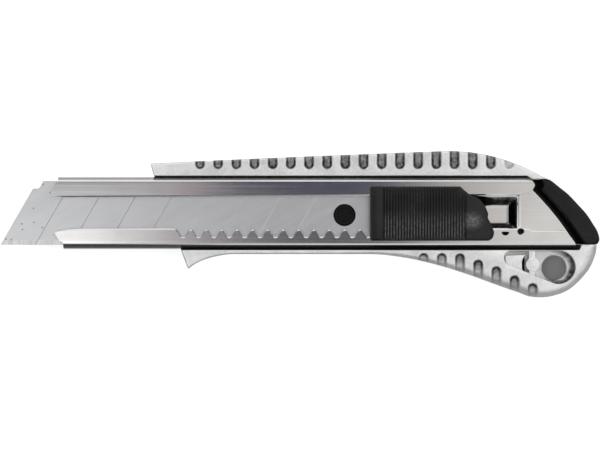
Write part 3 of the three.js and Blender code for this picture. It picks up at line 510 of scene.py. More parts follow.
def teardrop_plan():
    """The hull of a small circle and a big one whose tops are level."""
    small, big = TEAR_SMALL, TEAR_BIG
    lean = 2 * math.atan2(big - small, TEAR_SPAN)
    a = np.linspace(math.pi / 2, 1.5 * math.pi - lean, 20)
    b = np.linspace(1.5 * math.pi - lean, 2.5 * math.pi, 40)
    left = np.stack([TEAR_X - TEAR_SPAN + small * np.cos(a), TEAR_TOP - small + small * np.sin(a)], 1)
    right = np.stack([TEAR_X + big * np.cos(b), TEAR_TOP - big + big * np.sin(b)], 1)
    return even(np.vstack([left, right]), 0.35, closed=True)


def paint_shade(body):
    """Writes painted shade over the casting: in the scoops, and on the unlit
    walls and floors of the channel, the cap bay and the teardrop pocket."""
    x, y, z = points_of(body)
    deep = 3.2
    scoop_shade = scoops(x, y)[1] * ((z > FACE_Z - deep) | (z < deep))
    roof = FACE_Z - np.where(y < 0, 0.13, 0.5)
    inside = (y > CHANNEL_BOTTOM - 0.05) & (y < CHANNEL_TOP + 0.05) & (x < REAR - 3.2)
    trough = inside & (z > 1.9) & (z < roof)
    pocket = np.hypot(x - TEAR_X, y - TEAR_TOP + TEAR_BIG)
    well = (pocket < TEAR_BIG + 0.25) & (pocket > TEAR_BIG - 0.9) & (z < FACE_Z - 0.3) & (z > 1)
    lee = smooth(TEAR_X - 3.5, TEAR_X + 1.5, x + 0.5 * (TEAR_TOP - TEAR_BIG - y))
    # painted shade: the scoops, the channel's walls and floor, and the pocket's walls and floor, darker
    # towards the pocket's right side
    shade = np.maximum(scoop_shade, np.maximum(trough * 1.6, well * (0.25 + 0.65 * lee)))
    write_layer(body, "painted_shade", shade)


def cast_handle():
    """The blank with its channel, cap bay, hollow, teardrop pocket and holes cut out, and the
    pocket's shelf, bridge and stud standing in it."""
    body = casting_blank()
    carve(body, prism("channel", channel_plan(), flare(LEDGE_Z, FACE_Z, 0.3)))
    carve(body, prism("cap_bay", cap_bay_plan(), [(-2, 0), (FACE_Z + 2, 0)]))
    hollow = block(FRONT + 13.5, REAR + BEYOND, HALF - 3, 2)
    carve(body, prism("hollow", hollow, [(2, 0), (LEDGE_Z + 1, 0)]))
    walls = [(FACE_Z - 6, -0.25)] + flare(FACE_Z - 5.5, FACE_Z, 0.35)
    carve(body, prism("teardrop", teardrop_plan(), walls))
    left = TEAR_X - TEAR_SPAN
    shelf = rounded([
        [left - 1.75, TEAR_TOP - 1.3], [left + 4.3, TEAR_TOP - 1.0], [left + 3.3, TEAR_TOP - 2.6],
        [left + 3.3, TEAR_TOP - 5.0], [left + 4.0, TEAR_TOP - 6.1], [left - 1.4, TEAR_TOP - 3.6],
    ], 0.7)
    carve(body, prism("shelf", shelf, dome(2, FACE_Z - 0.9, 0.3)), "UNION")
    bridge = rounded([
        [left + 4.95, TEAR_TOP + 0.2], [left + 4.95, TEAR_TOP - 6.9],
        [left + 6.85, TEAR_TOP - 7.7], [left + 6.85, TEAR_TOP + 0.2],
    ], 0.3)
    carve(body, prism("bridge", bridge, dome(2, FACE_Z - 0.55, 0.25)), "UNION")
    stud = circle(left + 6.1, TEAR_TOP - 3.8, 1.97)
    carve(body, prism("stud", stud, dome(2, FACE_Z - 0.4, 0.2)), "UNION")
    hole = circle(LANYARD_X, LANYARD_Y, LANYARD_RADIUS, 64)
    levels = [(-0.4, 1.2), (0.0, 0.55), (0.25, 0.2), (0.6, 0), (3.6, 0), (3.95, 0.2), (4.3, 0.7)]
    carve(body, prism("lanyard_hole", hole, levels))
    for low, high in ((RIVET_FRONT_LOW, RIVET_FRONT_HIGH), (RIVET_REAR_LOW, RIVET_REAR_HIGH)):
        x = (low[0] + high[0]) / 2
        seat = [(-0.3, 1.0), (0.0, 0.7), (0.7, 0.0), (LEDGE_Z - 1, 0.0)]
        carve(body, prism("rivet_hole", circle(x, 0, 1.1), seat))
    crease(body, 36)
    paint_shade(body)
    return body


# ---- Blade guide -------------------------------------------------------------------------
def rack_edge(x):
    """Y of the lower lip's edge: plain at both ends, a cosine wave of lock places between."""
    first = PAD_LOW[0] + 12.34 - PLACES_AHEAD * RACK_PITCH
    last = first + (PLACES - 1) * RACK_PITCH
    wave = (1 + np.cos(2 * math.pi * (x - first) / RACK_PITCH)) / 2
    wave = 1 - (1 - wave) ** 1.35
    inside = smooth(first - 2.3, first - 1.8, x) * smooth(last + 2.3, last + 1.8, x)
    plain = LOWER_EDGE - 0.6 * smooth(REAR - 20, REAR - 18, x)
    return plain - inside * (0.3 + 2.1 * wave)


def upper_edge(x):
    """Y of the upper lip's edge: almost level, then a quarter ellipse up to the tongue's tip."""
    t = np.clip((x - TONGUE_FROM) / (TONGUE_TIP - TONGUE_FROM), 0, 1)
    level = UPPER_EDGE + 0.4 * np.clip((x - 45) / 95, -0.5, 1)
    return level + (TONGUE_Y - UPPER_EDGE - 0.4) * quarter(t)


def tongue_end(y):
    """X of the upper lip's rear end at height y, a half ellipse that leans back to the wall."""
    t = (np.asarray(y, float) - TONGUE_Y) / (HALF - TONGUE_Y + 0.05)
    return TONGUE_TIP - 3.1 * quarter(t)


EDGE = -1.0  # marks the two rows that lie on the lips' very edges
BEVEL = 0.38  # width of the lips' bevelled edges
BEVEL_DROP = 0.14


def guide_section():
    """The sheet's middle line as rows of (kind, across, height): each lip row is a share of the
    way from its edge to its bend, and the rest are fixed places in Y and Z."""
    low, high = GUIDE_LOW[2] + POCKET_SINK + SHEET / 2, GUIDE_TOP - SHEET / 2
    side = HALF - SHEET / 2
    turn = np.radians(np.linspace(90, 0, 9))
    inwards, fall = 1 - np.cos(turn), 1 - np.sin(turn)
    across_low, rise_low = side - BEND_LOW * inwards, low + BEND_LOW * fall
    share = np.concatenate([[EDGE], np.linspace(0, 1, 12)])
    rows = [("upper", s, high) for s in share[:-1]]
    rows += [("bend", y, z) for y, z in zip(side - BEND_UPPER * inwards, high - BEND_UPPER * fall)]
    rows += [("", y, z) for y, z in zip(across_low[::-1], rise_low[::-1])]
    flat, rim, panel = side - BEND_LOW, 5.2, 1.8
    floor = np.concatenate([
        np.linspace(flat, rim, 9)[1:], np.linspace(rim, panel, 14)[1:], np.linspace(panel, -panel, 7)[1:],
        np.linspace(-panel, -rim, 14)[1:], np.linspace(-rim, -flat, 9)[1:-1],
    ])
    rows += [("floor", y, low) for y in floor]
    rows += [("", -y, z) for y, z in zip(across_low, rise_low)]
    rows += [("", y, z) for y, z in zip(BEND_LOWER * inwards[::-1] - side, high - BEND_LOWER * fall[::-1])]
    rows += [("lower", s, high) for s in share[-2::-1]]
    return rows


def guide_front(kind, y):
    """X of the front edge at height y: slanting, with the lips' tips leading. The upper lip's tip
    is turned by a quarter ellipse, and the lower one's by a power curve."""
    if kind == "upper":
        lead, turned = 14.2, 0.9
        tip = UPPER_EDGE + turned
        if y > tip:
            return lead + 2.0 * (y - tip) / (HALF - tip)
        return lead + 3.2 * float(quarter((tip - y) / turned))
    if kind == "lower":
        lead, turned = 15.4, 1.3
        tip = LOWER_EDGE - turned
        if y < tip:
            return lead + 2.4 * (tip - y) / (tip + HALF)
        return lead + 6.6 * ((y - tip) / turned) ** 1.8
    return 16.2 + 1.6 * (HALF - y) / (2 * HALF)


POCKET_REAR = GUIDE_REAR - 17.0
POCKET_LENGTH = 33.5
POCKET_TOP, POCKET_BOTTOM = 4.75, -4.9


def pocket_shares(x, y):
    """How far down each wall of the pocket a point lies: rear, front, upper and lower wall, each
    as its distance from the pocket's brim over that wall's width."""
    return np.stack([
        (POCKET_REAR - x) / 2.7, (x - POCKET_REAR + POCKET_LENGTH) / 2.3,
        (POCKET_TOP - y) / 2.75, (y - POCKET_BOTTOM) / 2.1,
    ])


def pocket_sink(x, y):
    """Depth of the dish pressed into the floor: four sloping walls round a flat panel."""
    walls = np.clip(pocket_shares(x, y).min(0), 0, 1)
    return POCKET_SINK * (0.75 * walls + 0.25 * walls * walls * (3 - 2 * walls))


BEAD = 0.07  # low enough to clear the carrier above it


def ridge(x, y):
    """A fine upright bead across the floor behind the pocket."""
    return -BEAD * bump(x, REAR - 21.9, 0.3) * smooth(5.2, 4.8, np.abs(y - 0.1))


def paint_pocket_shade(guide):
    """Writes painted shade on the pocket's walls, where the guide is unlit, most of all the upper."""
    x, y, z = points_of(guide)
    shares = pocket_shares(x, y)
    least = shares.min(0)
    which = np.array([0.75, 0.6, 0.93, 0.85])[shares.argmin(0)]
    # painted shade: each wall of the pocket darkened by its own share, the upper wall most
    shade = which * smooth(0, 0.12, least) * smooth(1.02, 0.9, least) * (z < FLOOR_Z)
    write_layer(guide, "painted_shade", shade)


def blade_guide():
    """The C-channel: a closed section of sheet, both faces and two rounded edges, carried along
    X. The ends are sheared by sliding each row's stations, and the rack is the lip's own edge."""
    rows = guide_section()
    kinds = np.array([kind for kind, _, _ in rows])
    value = np.array([v for _, v, _ in rows])
    height = np.array([z for _, _, z in rows])
    is_upper, is_lower = kinds == "upper", kinds == "lower"
    is_lip = is_upper | is_lower
    side = HALF - SHEET / 2
    start, sheared = GUIDE_LOW[0], 24
    x = np.concatenate([
        np.linspace(start, sheared, 46), np.arange(sheared + 0.6, 49, 0.7),
        np.arange(49.3, PAD_HIGH[0] - 1, RACK_PITCH / 18),
        np.arange(PAD_HIGH[0] - 0.8, GUIDE_REAR - 0.2, 0.3), [GUIDE_REAR],
    ])
    edge_y = np.where(is_upper, UPPER_EDGE, np.where(is_lower, LOWER_EDGE, 0))
    signed = np.where(is_lower, BEND_LOWER - side, side - BEND_UPPER)
    shelf = np.where(is_lip & (value != EDGE), BEVEL * np.sign(signed), 0)
    value = np.where(is_lip, np.clip(value, 0, 1), value)
    plain_y = np.where(is_lip, edge_y + shelf + (signed - edge_y - shelf) * value, value)
    first = np.array([guide_front(k, float(y)) for k, y in zip(kinds, plain_y)])
    ahead = np.clip((sheared - x) / (sheared - start), 0, 1)[:, None]
    place_x = x[:, None] + (first - start)[None] * ahead
    tail_from = REAR - 22.5
    behind = np.clip((x - tail_from) / (GUIDE_REAR - tail_from), 0, 1)[:, None]
    tail_y = np.where(is_upper, TONGUE_Y + (signed - TONGUE_Y) * value, plain_y)
    seen_y = TONGUE_Y + (tail_y - TONGUE_Y) * (HALF - TONGUE_Y) / (side - TONGUE_Y)
    last = np.where(is_upper | (kinds == "bend"), tongue_end(seen_y), tail_line(plain_y))
    corner = np.where(is_lower, 0.7 * (1 - value) ** 3, 0)
    place_x = place_x + (last - corner - GUIDE_REAR)[None] * behind
    edge_now = np.where(is_upper, upper_edge(place_x), rack_edge(place_x))
    place_y = np.where(is_lip, edge_now + shelf + (signed - edge_now - shelf) * value, value)
    pressed = pocket_sink(place_x, place_y) + ridge(place_x, place_y)
    sunk = np.where(kinds == "floor", pressed, 0)
    step_y, step_z = np.gradient(plain_y), np.gradient(height)
    size = np.hypot(step_y, step_z)
    normal_y, normal_z = step_z / size, -step_y / size
    outer, inner = (
        np.stack([place_x, place_y - thick * normal_y, height - sunk - thick * normal_z], -1)
        for thick in (SHEET / 2, -SHEET / 2)
    )
    outer[:, [0, -1], 2] -= BEVEL_DROP
    blunt = 0.12
    for face in (outer, inner):
        face[:, 0, 1] += blunt
        face[:, -1, 1] -= blunt
    mid_front = (outer[:, :1] + inner[:, :1]) / 2 - [0, blunt, 0]
    mid_back = (outer[:, -1:] + inner[:, -1:]) / 2 + [0, blunt, 0]
    loop = np.concatenate([outer, mid_back, inner[:, ::-1], mid_front], 1)
    shell = Shell().grid(loop, close_columns=True)
    for end in (0, -1):
        strip = np.stack([outer[end], inner[end]], 0)
        shell.grid(strip)
        shell.lid([outer[end, 0], mid_front[end, 0], inner[end, 0]])
        shell.lid([outer[end, -1], mid_back[end, 0], inner[end, -1]])
    guide = shell.piece("channel_guide")
    under = (GUIDE_LOW[2] - 1, 0)
    hole = circle(REAR - 21.6, LOWER_EDGE - 0.85, 0.85, 28)
    carve(guide, prism("pin_hole", hole, [under, (GUIDE_TOP - 0.15, 0), (GUIDE_TOP + 0.1, 0.3)]))
    turn = np.radians(np.linspace(180, 360, 14))
    moon = np.stack([REAR - 25.9 + 0.93 * np.cos(turn), LOWER_EDGE - 1.1 + 0.8 * np.sin(turn)], 1)
    carve(guide, prism("half_moon", moon, [under, (GUIDE_TOP - 0.2, 0), (GUIDE_TOP + 0.1, 0.25)]))
    crease(guide, 24)
    paint_pocket_shade(guide)
    return guide


# ---- Blade -------------------------------------------------------------------------------
LEAN = 1 / math.tan(math.radians(60))  # the segments' slant
SEGMENT = 10.2
SCORES = 9.8 + SEGMENT * np.arange(8)
SCORE_DEPTH, SCORE_HALF = 0.12, 0.12  # each score's depth, and half its width


def slab(upper, lower):
    """A closed solid between two facing grids: both faces and the four walls that join them."""
    shell = Shell().grid(upper).grid(lower)
    for cut in ((0, slice(None)), (-1, slice(None)), (slice(None), 0), (slice(None), -1)):
        shell.grid(np.stack([upper[cut], lower[cut]]))
    return shell


def spaced(*parts):
    """Several runs of numbers merged in order, without any that all but repeat."""
    whole = np.sort(np.concatenate([np.atleast_1d(part) for part in parts]))
    return whole[np.concatenate([[True], np.diff(whole) > 0.015])]


def segment_blade():
    """The blade as a sheared sheet: columns lean 60 degrees like the segments, so that each
    score is a V along one column; the honed edge thins both faces over its lowest millimetre."""
    half = BLADE_HIGH[1]
    length = BLADE_HIGH[0]
    vee = np.array([-0.15, -0.12, -0.06, 0, 0.06, 0.12, 0.15])
    u = spaced(np.arange(0, length, 0.9), length, (SCORES[:, None] + vee).ravel())
    honed = -half + np.array([0, 0.06, 0.4, 0.8, 1.15, GROUND, 1.4])
    y = spaced(honed, np.arange(-half + 2, half, 1.0), half)
    squared = 21.8  # over the rear end, the slant dies away to a square end
    lean = LEAN * np.clip((length - u) / squared, 0, 1)
    x = u[:, None] + lean[:, None] * (y + half)[None]
    ground = 0.21 * np.clip((-half + GROUND - y) / GROUND, 0, 1)[None] + 0 * x
    nearest = np.abs(u[:, None] - SCORES).min(1)
    inside = smooth(42, 52, u)  # the scores fade where the blade enters the handle
    vee_cut = np.clip(1 - nearest / SCORE_HALF, 0, 1) * (1 - 0.85 * inside)
    score = (SCORE_DEPTH * vee_cut)[:, None] + 0 * x
    wide = np.broadcast_to(y[None], x.shape)
    upper = np.stack([x, wide, BLADE_HIGH[2] - ground - score], -1)
    lower = np.stack([x, wide, BLADE_LOW[2] + ground], -1)
    blade = slab(upper, lower).piece("segment_blade")
    above = half + 0.4
    curl = [[8, 6.95], [9.2, 6.9], [10.2, 6.85], [10.8, 7.0], [11.3, 7.55], [11.75, 8.4], [12.2, above]]
    notch = np.vstack([spline(curl, 0.15), [[8, above]]])
    carve(blade, prism("notch", notch, [(BLADE_LOW[2] - 1, 0), (BLADE_HIGH[2] + 1, 0)]))
    hole = circle(HOLE_X, HOLE_Y, 3.1, 72)
    carve(blade, prism("peg_hole", hole, flare(BLADE_LOW[2] - 1, BLADE_HIGH[2], 0.08, steps=3)))
    crease(blade, 5)
    return blade


# ---- Blade carrier -----------------------------------------------------------------------
def carrier():
    """The plastic strip under the blade, its thick rear block, the neck and the scalloped peg."""
    half = BLADE_HIGH[1] - 0.1
    front, end = CARRIER_LOW[0], CARRIER_HIGH[0]
    low, top = CARRIER_LOW[2], GUIDE_TOP - SHEET - 0.1
    strip = rounded([
        [front, -half], [end, -half], [end - 3.2, 0], [end - 8, half], [front, half],
    ], 1.0)
    body = prism("black_carrier", strip, dome(low, low + 1.1, 0.15, 4))
    step = BLADE_HIGH[0] + 0.3
    low_side = 0.45 - half
    rear = rounded([[step, low_side], [end, low_side], [end - 3.2, 0], [end - 8, half], [step, half]], 0.8)
    carve(body, prism("rear_block", rear, dome(low + 0.05, top, 0.3, 4)), "UNION")
    crest = CARRIER_HIGH[2]
    neck = block(NECK_FROM, NECK_TO, 2.7, 0.5)
    carve(body, prism("neck", neck, dome(low + 0.1, crest, 0.2, 4)), "UNION")
    head = block(NECK_FROM, NECK_TO, 3.9, 0.5)
    levels = [(crest - 1, -0.1), (crest - 0.9, 0), (crest - 0.1, 0), (crest, -0.1)]
    carve(body, prism("neck_head", head, levels), "UNION")
    count = 96
    turn = np.arange(count) / count * 2 * math.pi
    ripple = 2.93 - 0.09 * np.abs(np.sin(6 * turn)) ** 3
    around = np.stack([ripple * np.cos(turn), ripple * np.sin(turn)], 1)
    profile = [
        (1.0, low + 0.2), (1.0, 7.45), (0.985, 7.65), (0.93, 7.8), (0.8, 7.85), (0.72, 7.78),
        (0.66, 7.6), (0.5, 7.58), (0.25, 7.62),
    ]
    rings = np.stack([
        np.column_stack([[HOLE_X, HOLE_Y] + share * around, np.full(count, z)]) for share, z in profile
    ])
    peg = Shell().grid(rings, close_columns=True).lid(rings[0]).lid(rings[-1]).piece("peg")
    carve(body, peg, "UNION")
    seat = circle(NECK_FROM + 6.9, 0, 1.0, 24)
    carve(body, prism("spring_seat", seat, [(top, 0), (crest + 1, 0)]))
    crease(body, 36)
    return body


# ---- Thumb pad ---------------------------------------------------------------------------
RIB_PITCH = 0.81
RIB_DEPTH = 0.34
RIB_FROM = PAD_LOW[0] + 3.9
RIB_TO = RIB_FROM + 28 * RIB_PITCH
RIM_STEPS = np.array([0, 0.05, 0.15, 0.3, 0.5, 0.75, 1.05])  # rows that follow the rounded rim


def pad_rear(y):
    """X of the pad's leaning rear end at height y, through its shoulder and its two steps."""
    end, low, high = PAD_HIGH[0], PAD_LOW[1], PAD_HIGH[1]
    line = np.array([
        [low, end - 1.7], [low + 0.5, end - 0.7], [low + 1.3, end - 0.2], [low + 2.4, end],
        [low + 4.4, end - 0.8], [low + 6.4, end - 1.9], [low + 7.6, end - 1.75],
        [high - 5.6, end - 2.6], [high - 4.1, end - 3.7], [high - 3.0, end - 5.2],
        [high - 2.6, end - 6.6], [high - 1.2, end - 8.3], [high, end - 9.6],
    ])
    return np.interp(y, line[:, 0], line[:, 1])


def pad_profile(x):
    """The pad's height along X: a rounded nose, a straight ribbed back and a long dome."""
    low, top = PAD_LOW[2], PAD_HIGH[2]
    nose = np.clip((x - PAD_LOW[0]) / 3.4, 0, 1)
    domed = 9  # the dome's length
    rise = low + 1.5 + (top - low - 1.5) * np.sqrt(np.clip(1 - (1 - nose) ** 2.2, 0, 1))
    return rise - (top - low - 1.4) * quarter((x - (PAD_HIGH[0] - domed)) / domed) * 0.85


def wear_and_highlight(pad):
    """Writes where the pad turns paler: the ribs' crests over the lower half, partly wear and partly a
    painted highlight, and a painted highlight patch on the rear dome."""
    x, y, _ = points_of(pad)
    crest = (0.5 - 0.5 * np.cos(2 * math.pi * (x - RIB_FROM) / RIB_PITCH)) ** 2
    ribbed = (x > RIB_FROM) & (x < RIB_TO)
    low = smooth(1.5, -3.5, y) * smooth(PAD_LOW[1], PAD_LOW[1] + 1.5, y)
    patch = np.hypot((x - PAD_HIGH[0] + 6.5) / 4.2, (y + 2.2) / 3.2)
    # painted highlight: a soft paler patch on the rear dome
    highlight_patch = 0.95 * (1 - smooth(0, 1, patch)) * (x > RIB_TO)
    write_layer(pad, "wear_and_highlight", np.maximum(crest * ribbed * low * 0.75, highlight_patch))


def ribbed_pad():
    """The pad as a height field over its plan: profile along X, a crown across Y, ribs as
    rounded crests between narrow valleys, and a rim that rounds over within its last millimetre."""
    low, high = PAD_LOW, PAD_HIGH
    y = spaced(low[1] + RIM_STEPS, np.arange(low[1] + 1.4, high[1] - 1.1, 0.35), high[1] - RIM_STEPS)
    steady = RIB_TO - 2.9
    fixed = spaced(low[0] + RIM_STEPS[:-1], np.arange(low[0] + 1.0, RIB_FROM, 0.3),
                   np.arange(RIB_FROM, steady, RIB_PITCH / 8))
    share = np.linspace(0, 1, 96)[1:]
    share = 1 - (1 - share) ** 1.15
    rear = pad_rear(y)
    corner = 0.55 * (quarter(1 - (y - low[1]) / 0.7) + quarter(1 - (high[1] - y) / 0.7))
    ahead = np.clip((low[0] + 4 - fixed) / 4, 0, 1)[:, None] * corner[None]
    x = np.concatenate([fixed[:, None] + ahead, steady + share[:, None] * (rear[None] - steady)], 0)
    wide = np.broadcast_to(y[None], x.shape)
    outline = np.vstack([
        np.stack([x[:, 0], wide[:, 0]], 1), np.stack([x[-1], wide[-1]], 1)[1:],
        np.stack([x[::-1, -1], wide[::-1, -1]], 1)[1:], np.stack([x[0, ::-1], wide[0, ::-1]], 1)[1:-1],
    ])
    edge = distance(np.stack([x, wide], -1), outline)
    edge[0], edge[-1], edge[:, 0], edge[:, -1] = 0, 0, 0, 0
    radius = 0.85
    drop = radius - np.sqrt(np.maximum(radius**2 - np.clip(radius - edge, 0, None) ** 2, 0))
    crown = 0.5 * smooth(-2.6, low[1], wide) + 0.5 * smooth(high[1] - 3, high[1], wide)
    phase = (x - RIB_FROM) / RIB_PITCH
    valley = (0.5 + 0.5 * np.cos(2 * math.pi * phase)) ** 1.6
    ribbed = smooth(RIB_FROM - 0.35, RIB_FROM, x) * smooth(RIB_TO + 0.35, RIB_TO, x) * smooth(0.1, 0.8, edge)
    z = pad_profile(x) - drop - crown * (1 - 0.3 * smooth(RIB_TO, RIB_TO + 4, x))
    z = z - RIB_DEPTH * valley * ribbed
    z = z - 0.25 * smooth(RIB_FROM - 0.6, RIB_FROM - 0.2, x) * smooth(RIB_TO + 0.6, RIB_TO + 0.2, x)
    upper = np.stack([x, wide, np.maximum(z, low[2] + 0.35)], -1)
    lower = np.stack([x, wide, np.full_like(x, low[2])], -1)
    pad = slab(upper, lower).piece("ribbed_pad")
    behind, wing, nose, half, deep = NECK_TO + 1.41, NECK_FROM - 6.44, NECK_FROM + 1.2, 4.25, 7.0
    bay = [[nose, -half], [behind, -half], [behind, half], [wing, half], [wing, -deep], [nose, -deep]]
    bay = rounded(bay, 0.3)
    carve(pad, prism("pad_cavity", bay, [(low[2] - 1, 0), (high[2] - 1.4, 0)]))
    crease(pad, 40)
    wear_and_highlight(pad)
    return pad


# ---- End cap -----------------------------------------------------------------------------
def cap_outer(y):
    """X of the cap's outer arc at height y."""
    rear, top, bottom = CAP_HIGH[0], CAP_HIGH[1], CAP_LOW[1]
    line = spline([
        [rear - 0.35, bottom], [rear - 0.02, bottom + 1.2], [rear - 0.6, bottom + 3.4],
        [rear - 2.1, bottom + 5.9], [rear - 3.7, bottom + 8.3], [rear - 6.3, bottom + 11.2],
        [rear - 8.9, bottom + 13.9], [rear - 11.4, bottom + 15.9], [rear - 13.5, top],
    ])
    order = np.argsort(line[:, 1])
    return np.interp(y, line[order, 1], line[order, 0])


HEM = -1.0  # marks the rows of the cap's section that follow the guide's tail itself


def cap_inner(y):
    """X of the cap's raised inner edge: behind the guide's tail, and clear of the lip's tongue."""
    below = 0.6 * np.clip(TONGUE_Y - y, 0, None)
    return np.maximum(tail_line(np.clip(y, -HALF, HALF), 0.4), tongue_end(y) + 0.35 - below)


def tail_cap():
    """The crescent cap: one closed cross-section, with a ditch along its inner edge, a domed face
    and a rounded outer edge, carried up the band between the guide's tail and the outer arc."""
    over = [0, 0.33, 0]
    low, high = CAP_LOW - over, CAP_HIGH + over
    steps = np.array([0, 0.06, 0.2, 0.4, 0.7])
    y = spaced(low[1] + steps, np.arange(low[1] + 1, high[1] - 0.9, 0.3), high[1] - steps)
    hem, inner, outer = tail_line(np.clip(y, -HALF, HALF), 0.4), cap_inner(y), cap_outer(y)
    end = np.minimum(y - low[1], high[1] - y)
    tuck = 0.75 * quarter(1 - end / 0.8)
    hem, inner, outer = hem + tuck * 0.4, inner + tuck * 0.4, outer - tuck
    top, base = high[2], low[2]
    turn = np.radians(np.linspace(90, 0, 8))
    # Each row is (share of the way from the inner edge to the outer arc, reach beyond that, z).
    section = [
        (HEM, 0, base + 0.6), (HEM, 0, top - 3.3), (HEM, 0.15, top - 3.0), (HEM, 0.35, top - 3.0),
        (0.0, 1.7, top - 4.8), (0.0, 1.9, top - 4.6), (0.0, 2.05, top - 0.8), (0.0, 2.2, top - 0.3),
        (0.0, 2.6, top - 0.03),
    ]
    section += [(f, 0, top - 0.05 * (2 * f - 0.9) ** 2) for f in (0.5, 0.62, 0.74)]
    wide, tight = 1.5, 1.0
    section += [(1.0, wide * math.cos(a) - wide, top - wide + wide * math.sin(a)) for a in turn]
    section += [(1.0, tight * math.cos(a) - tight, base + tight - tight * math.sin(a)) for a in turn[::-1]]
    section += [(0.5, 0, base), (HEM, 0.6, base), (HEM, 0.15, base + 0.2)]
    share, reach, z = np.array(section).T
    x = inner[:, None] + (outer - inner)[:, None] * share[None]
    x = np.where(share == HEM, hem[:, None], x) + reach
    z = np.clip(z[None] - tuck[:, None] * np.where(z > top / 2, 1, -1)[None] * 0.9, base, top)
    rings = np.stack([x, np.broadcast_to(y[:, None], x.shape), z], -1)
    cap = Shell().grid(rings, close_columns=True).lid(rings[0]).lid(rings[-1]).piece("tail_cap")
    half = min(HALF - 3, -CHANNEL_BOTTOM - HEEL_RISE) - 0.25
    start = CAP_LOW[0]
    fork, depth = 5.25, GUIDE_REAR - 16.85
    t = np.linspace(-half, half, 16)
    tongue = np.vstack([
        [[start, half], [start, fork], [depth, fork], [depth, -fork], [start, -fork], [start, -half]],
        np.stack([tail_line(t, 2.0), t], 1),
    ])
    carve(cap, prism("tongue", tongue, [(2.25, -0.1), (2.4, 0), (4.8, 0), (4.95, -0.1)]), "UNION")
    crease(cap, 36)
    return cap


# ---- Rivets ------------------------------------------------------------------------------
def rivet(name, low, high, deep):
    """A turned rivet: a domed head under the blade, a plain shank and a peened, dished tail."""
    x, y = (low[0] + high[0]) / 2, (low[1] + high[1]) / 2
    wide, shank, head = (high[0] - low[0]) / 2, 0.98, high[2] - deep
    foot = low[2]
    profile = [
        (0, foot + 0.12), (0.45, foot + 0.06), (0.7, foot), (0.9, foot + 0.05), (shank, foot + 0.2),
        (shank, head), (wide - 0.1, head), (wide, head + 0.1), (wide - 0.12, head + deep * 0.55),
        (wide * 0.7, head + deep * 0.85), (wide * 0.35, high[2]), (0, high[2]),
    ]
    made = lathe(profile, x, y).piece(name)
    crease(made, 40)
    return made


# ---- Finishes ----------------------------------------------------------------------------
class Wiring:
    """Short ways to place and join shader nodes in one tree."""

    def __init__(self, tree):
        self.tree = tree

    def add(self, kind, inputs=(), **settings):
        """Places a node. An input is wired where it is given a socket, and set to a value otherwise."""
        node = self.tree.nodes.new("ShaderNode" + kind)
        for name, value in settings.items():
            setattr(node, name, value)
        for key, value in dict(inputs).items():
            if isinstance(value, bpy.types.NodeSocket):
                self.tree.links.new(value, node.inputs[key])
            else:
                node.inputs[key].default_value = value
        return node

    def join(self, value, socket):
        self.tree.links.new(value, socket)

    def math(self, operation, a, b=0.0, clamp=False):
        return self.add("Math", {0: a, 1: b}, operation=operation, use_clamp=clamp).outputs[0]

    def times(self, a, b):
        return self.math("MULTIPLY", a, b)

    def weighed(self, a, share_a, b, share_b):
        """The sum of two values, each times its own share."""
        return self.math("ADD", self.times(a, share_a), self.times(b, share_b))

    def ramp(self, value, low, high, to_low=0.0, to_high=1.0):
        """A smooth step of the value from low to high, spread over to_low to to_high."""
        inputs = {0: value, 1: low, 2: high, 3: to_low, 4: to_high}
        return self.add("MapRange", inputs, interpolation_type="SMOOTHSTEP").outputs[0]

    def between(self, share, low, high):
        """The share of the way from low to high."""
        return self.add("MapRange", {0: share, 1: 0.0, 2: 1.0, 3: low, 4: high}).outputs[0]

    def mix(self, share, a, b):
        node = self.add("Mix", {0: share, 6: a, 7: b}, data_type="RGBA")
        return node.outputs[2]

    def own(self):
        """The piece's own coordinates, in metres."""
        return self.add("TexCoord").outputs["Object"]

    def axes(self):
        """The piece's own coordinates, one by one."""
        return self.add("SeparateXYZ", {0: self.own()}).outputs

    def scaled(self, vector, scale, turn=0.0):
        inputs = {"Vector": vector, "Scale": scale, "Rotation": (0, 0, turn)}
        return self.add("Mapping", inputs).outputs[0]

    def noise(self, vector, scale, detail=3.0, rough=0.55):
        inputs = {"Vector": vector, "Scale": scale, "Detail": detail, "Roughness": rough}
        return self.add("TexNoise", inputs).outputs[0]


def new_group(name, inputs, outputs):
    """An empty shader node group with named sockets; returns it with its wiring and ends."""
    tree = bpy.data.node_groups.new(name, "ShaderNodeTree")
    kinds = {"c": "NodeSocketColor", "f": "NodeSocketFloat"}
    for label, kind, value in inputs:
        socket = tree.interface.new_socket(label, in_out="INPUT", socket_type=kinds[kind])
        socket.default_value = value
    for label, kind in outputs:
        tree.interface.new_socket(label, in_out="OUTPUT", socket_type=kinds[kind])
    wire = Wiring(tree)
    start = tree.nodes.new("NodeGroupInput").outputs
    end = tree.nodes.new("NodeGroupOutput").inputs
    return tree, wire, start, end


FINISH_OUT = [("Color", "c"), ("Roughness", "f"), ("Height", "f")]


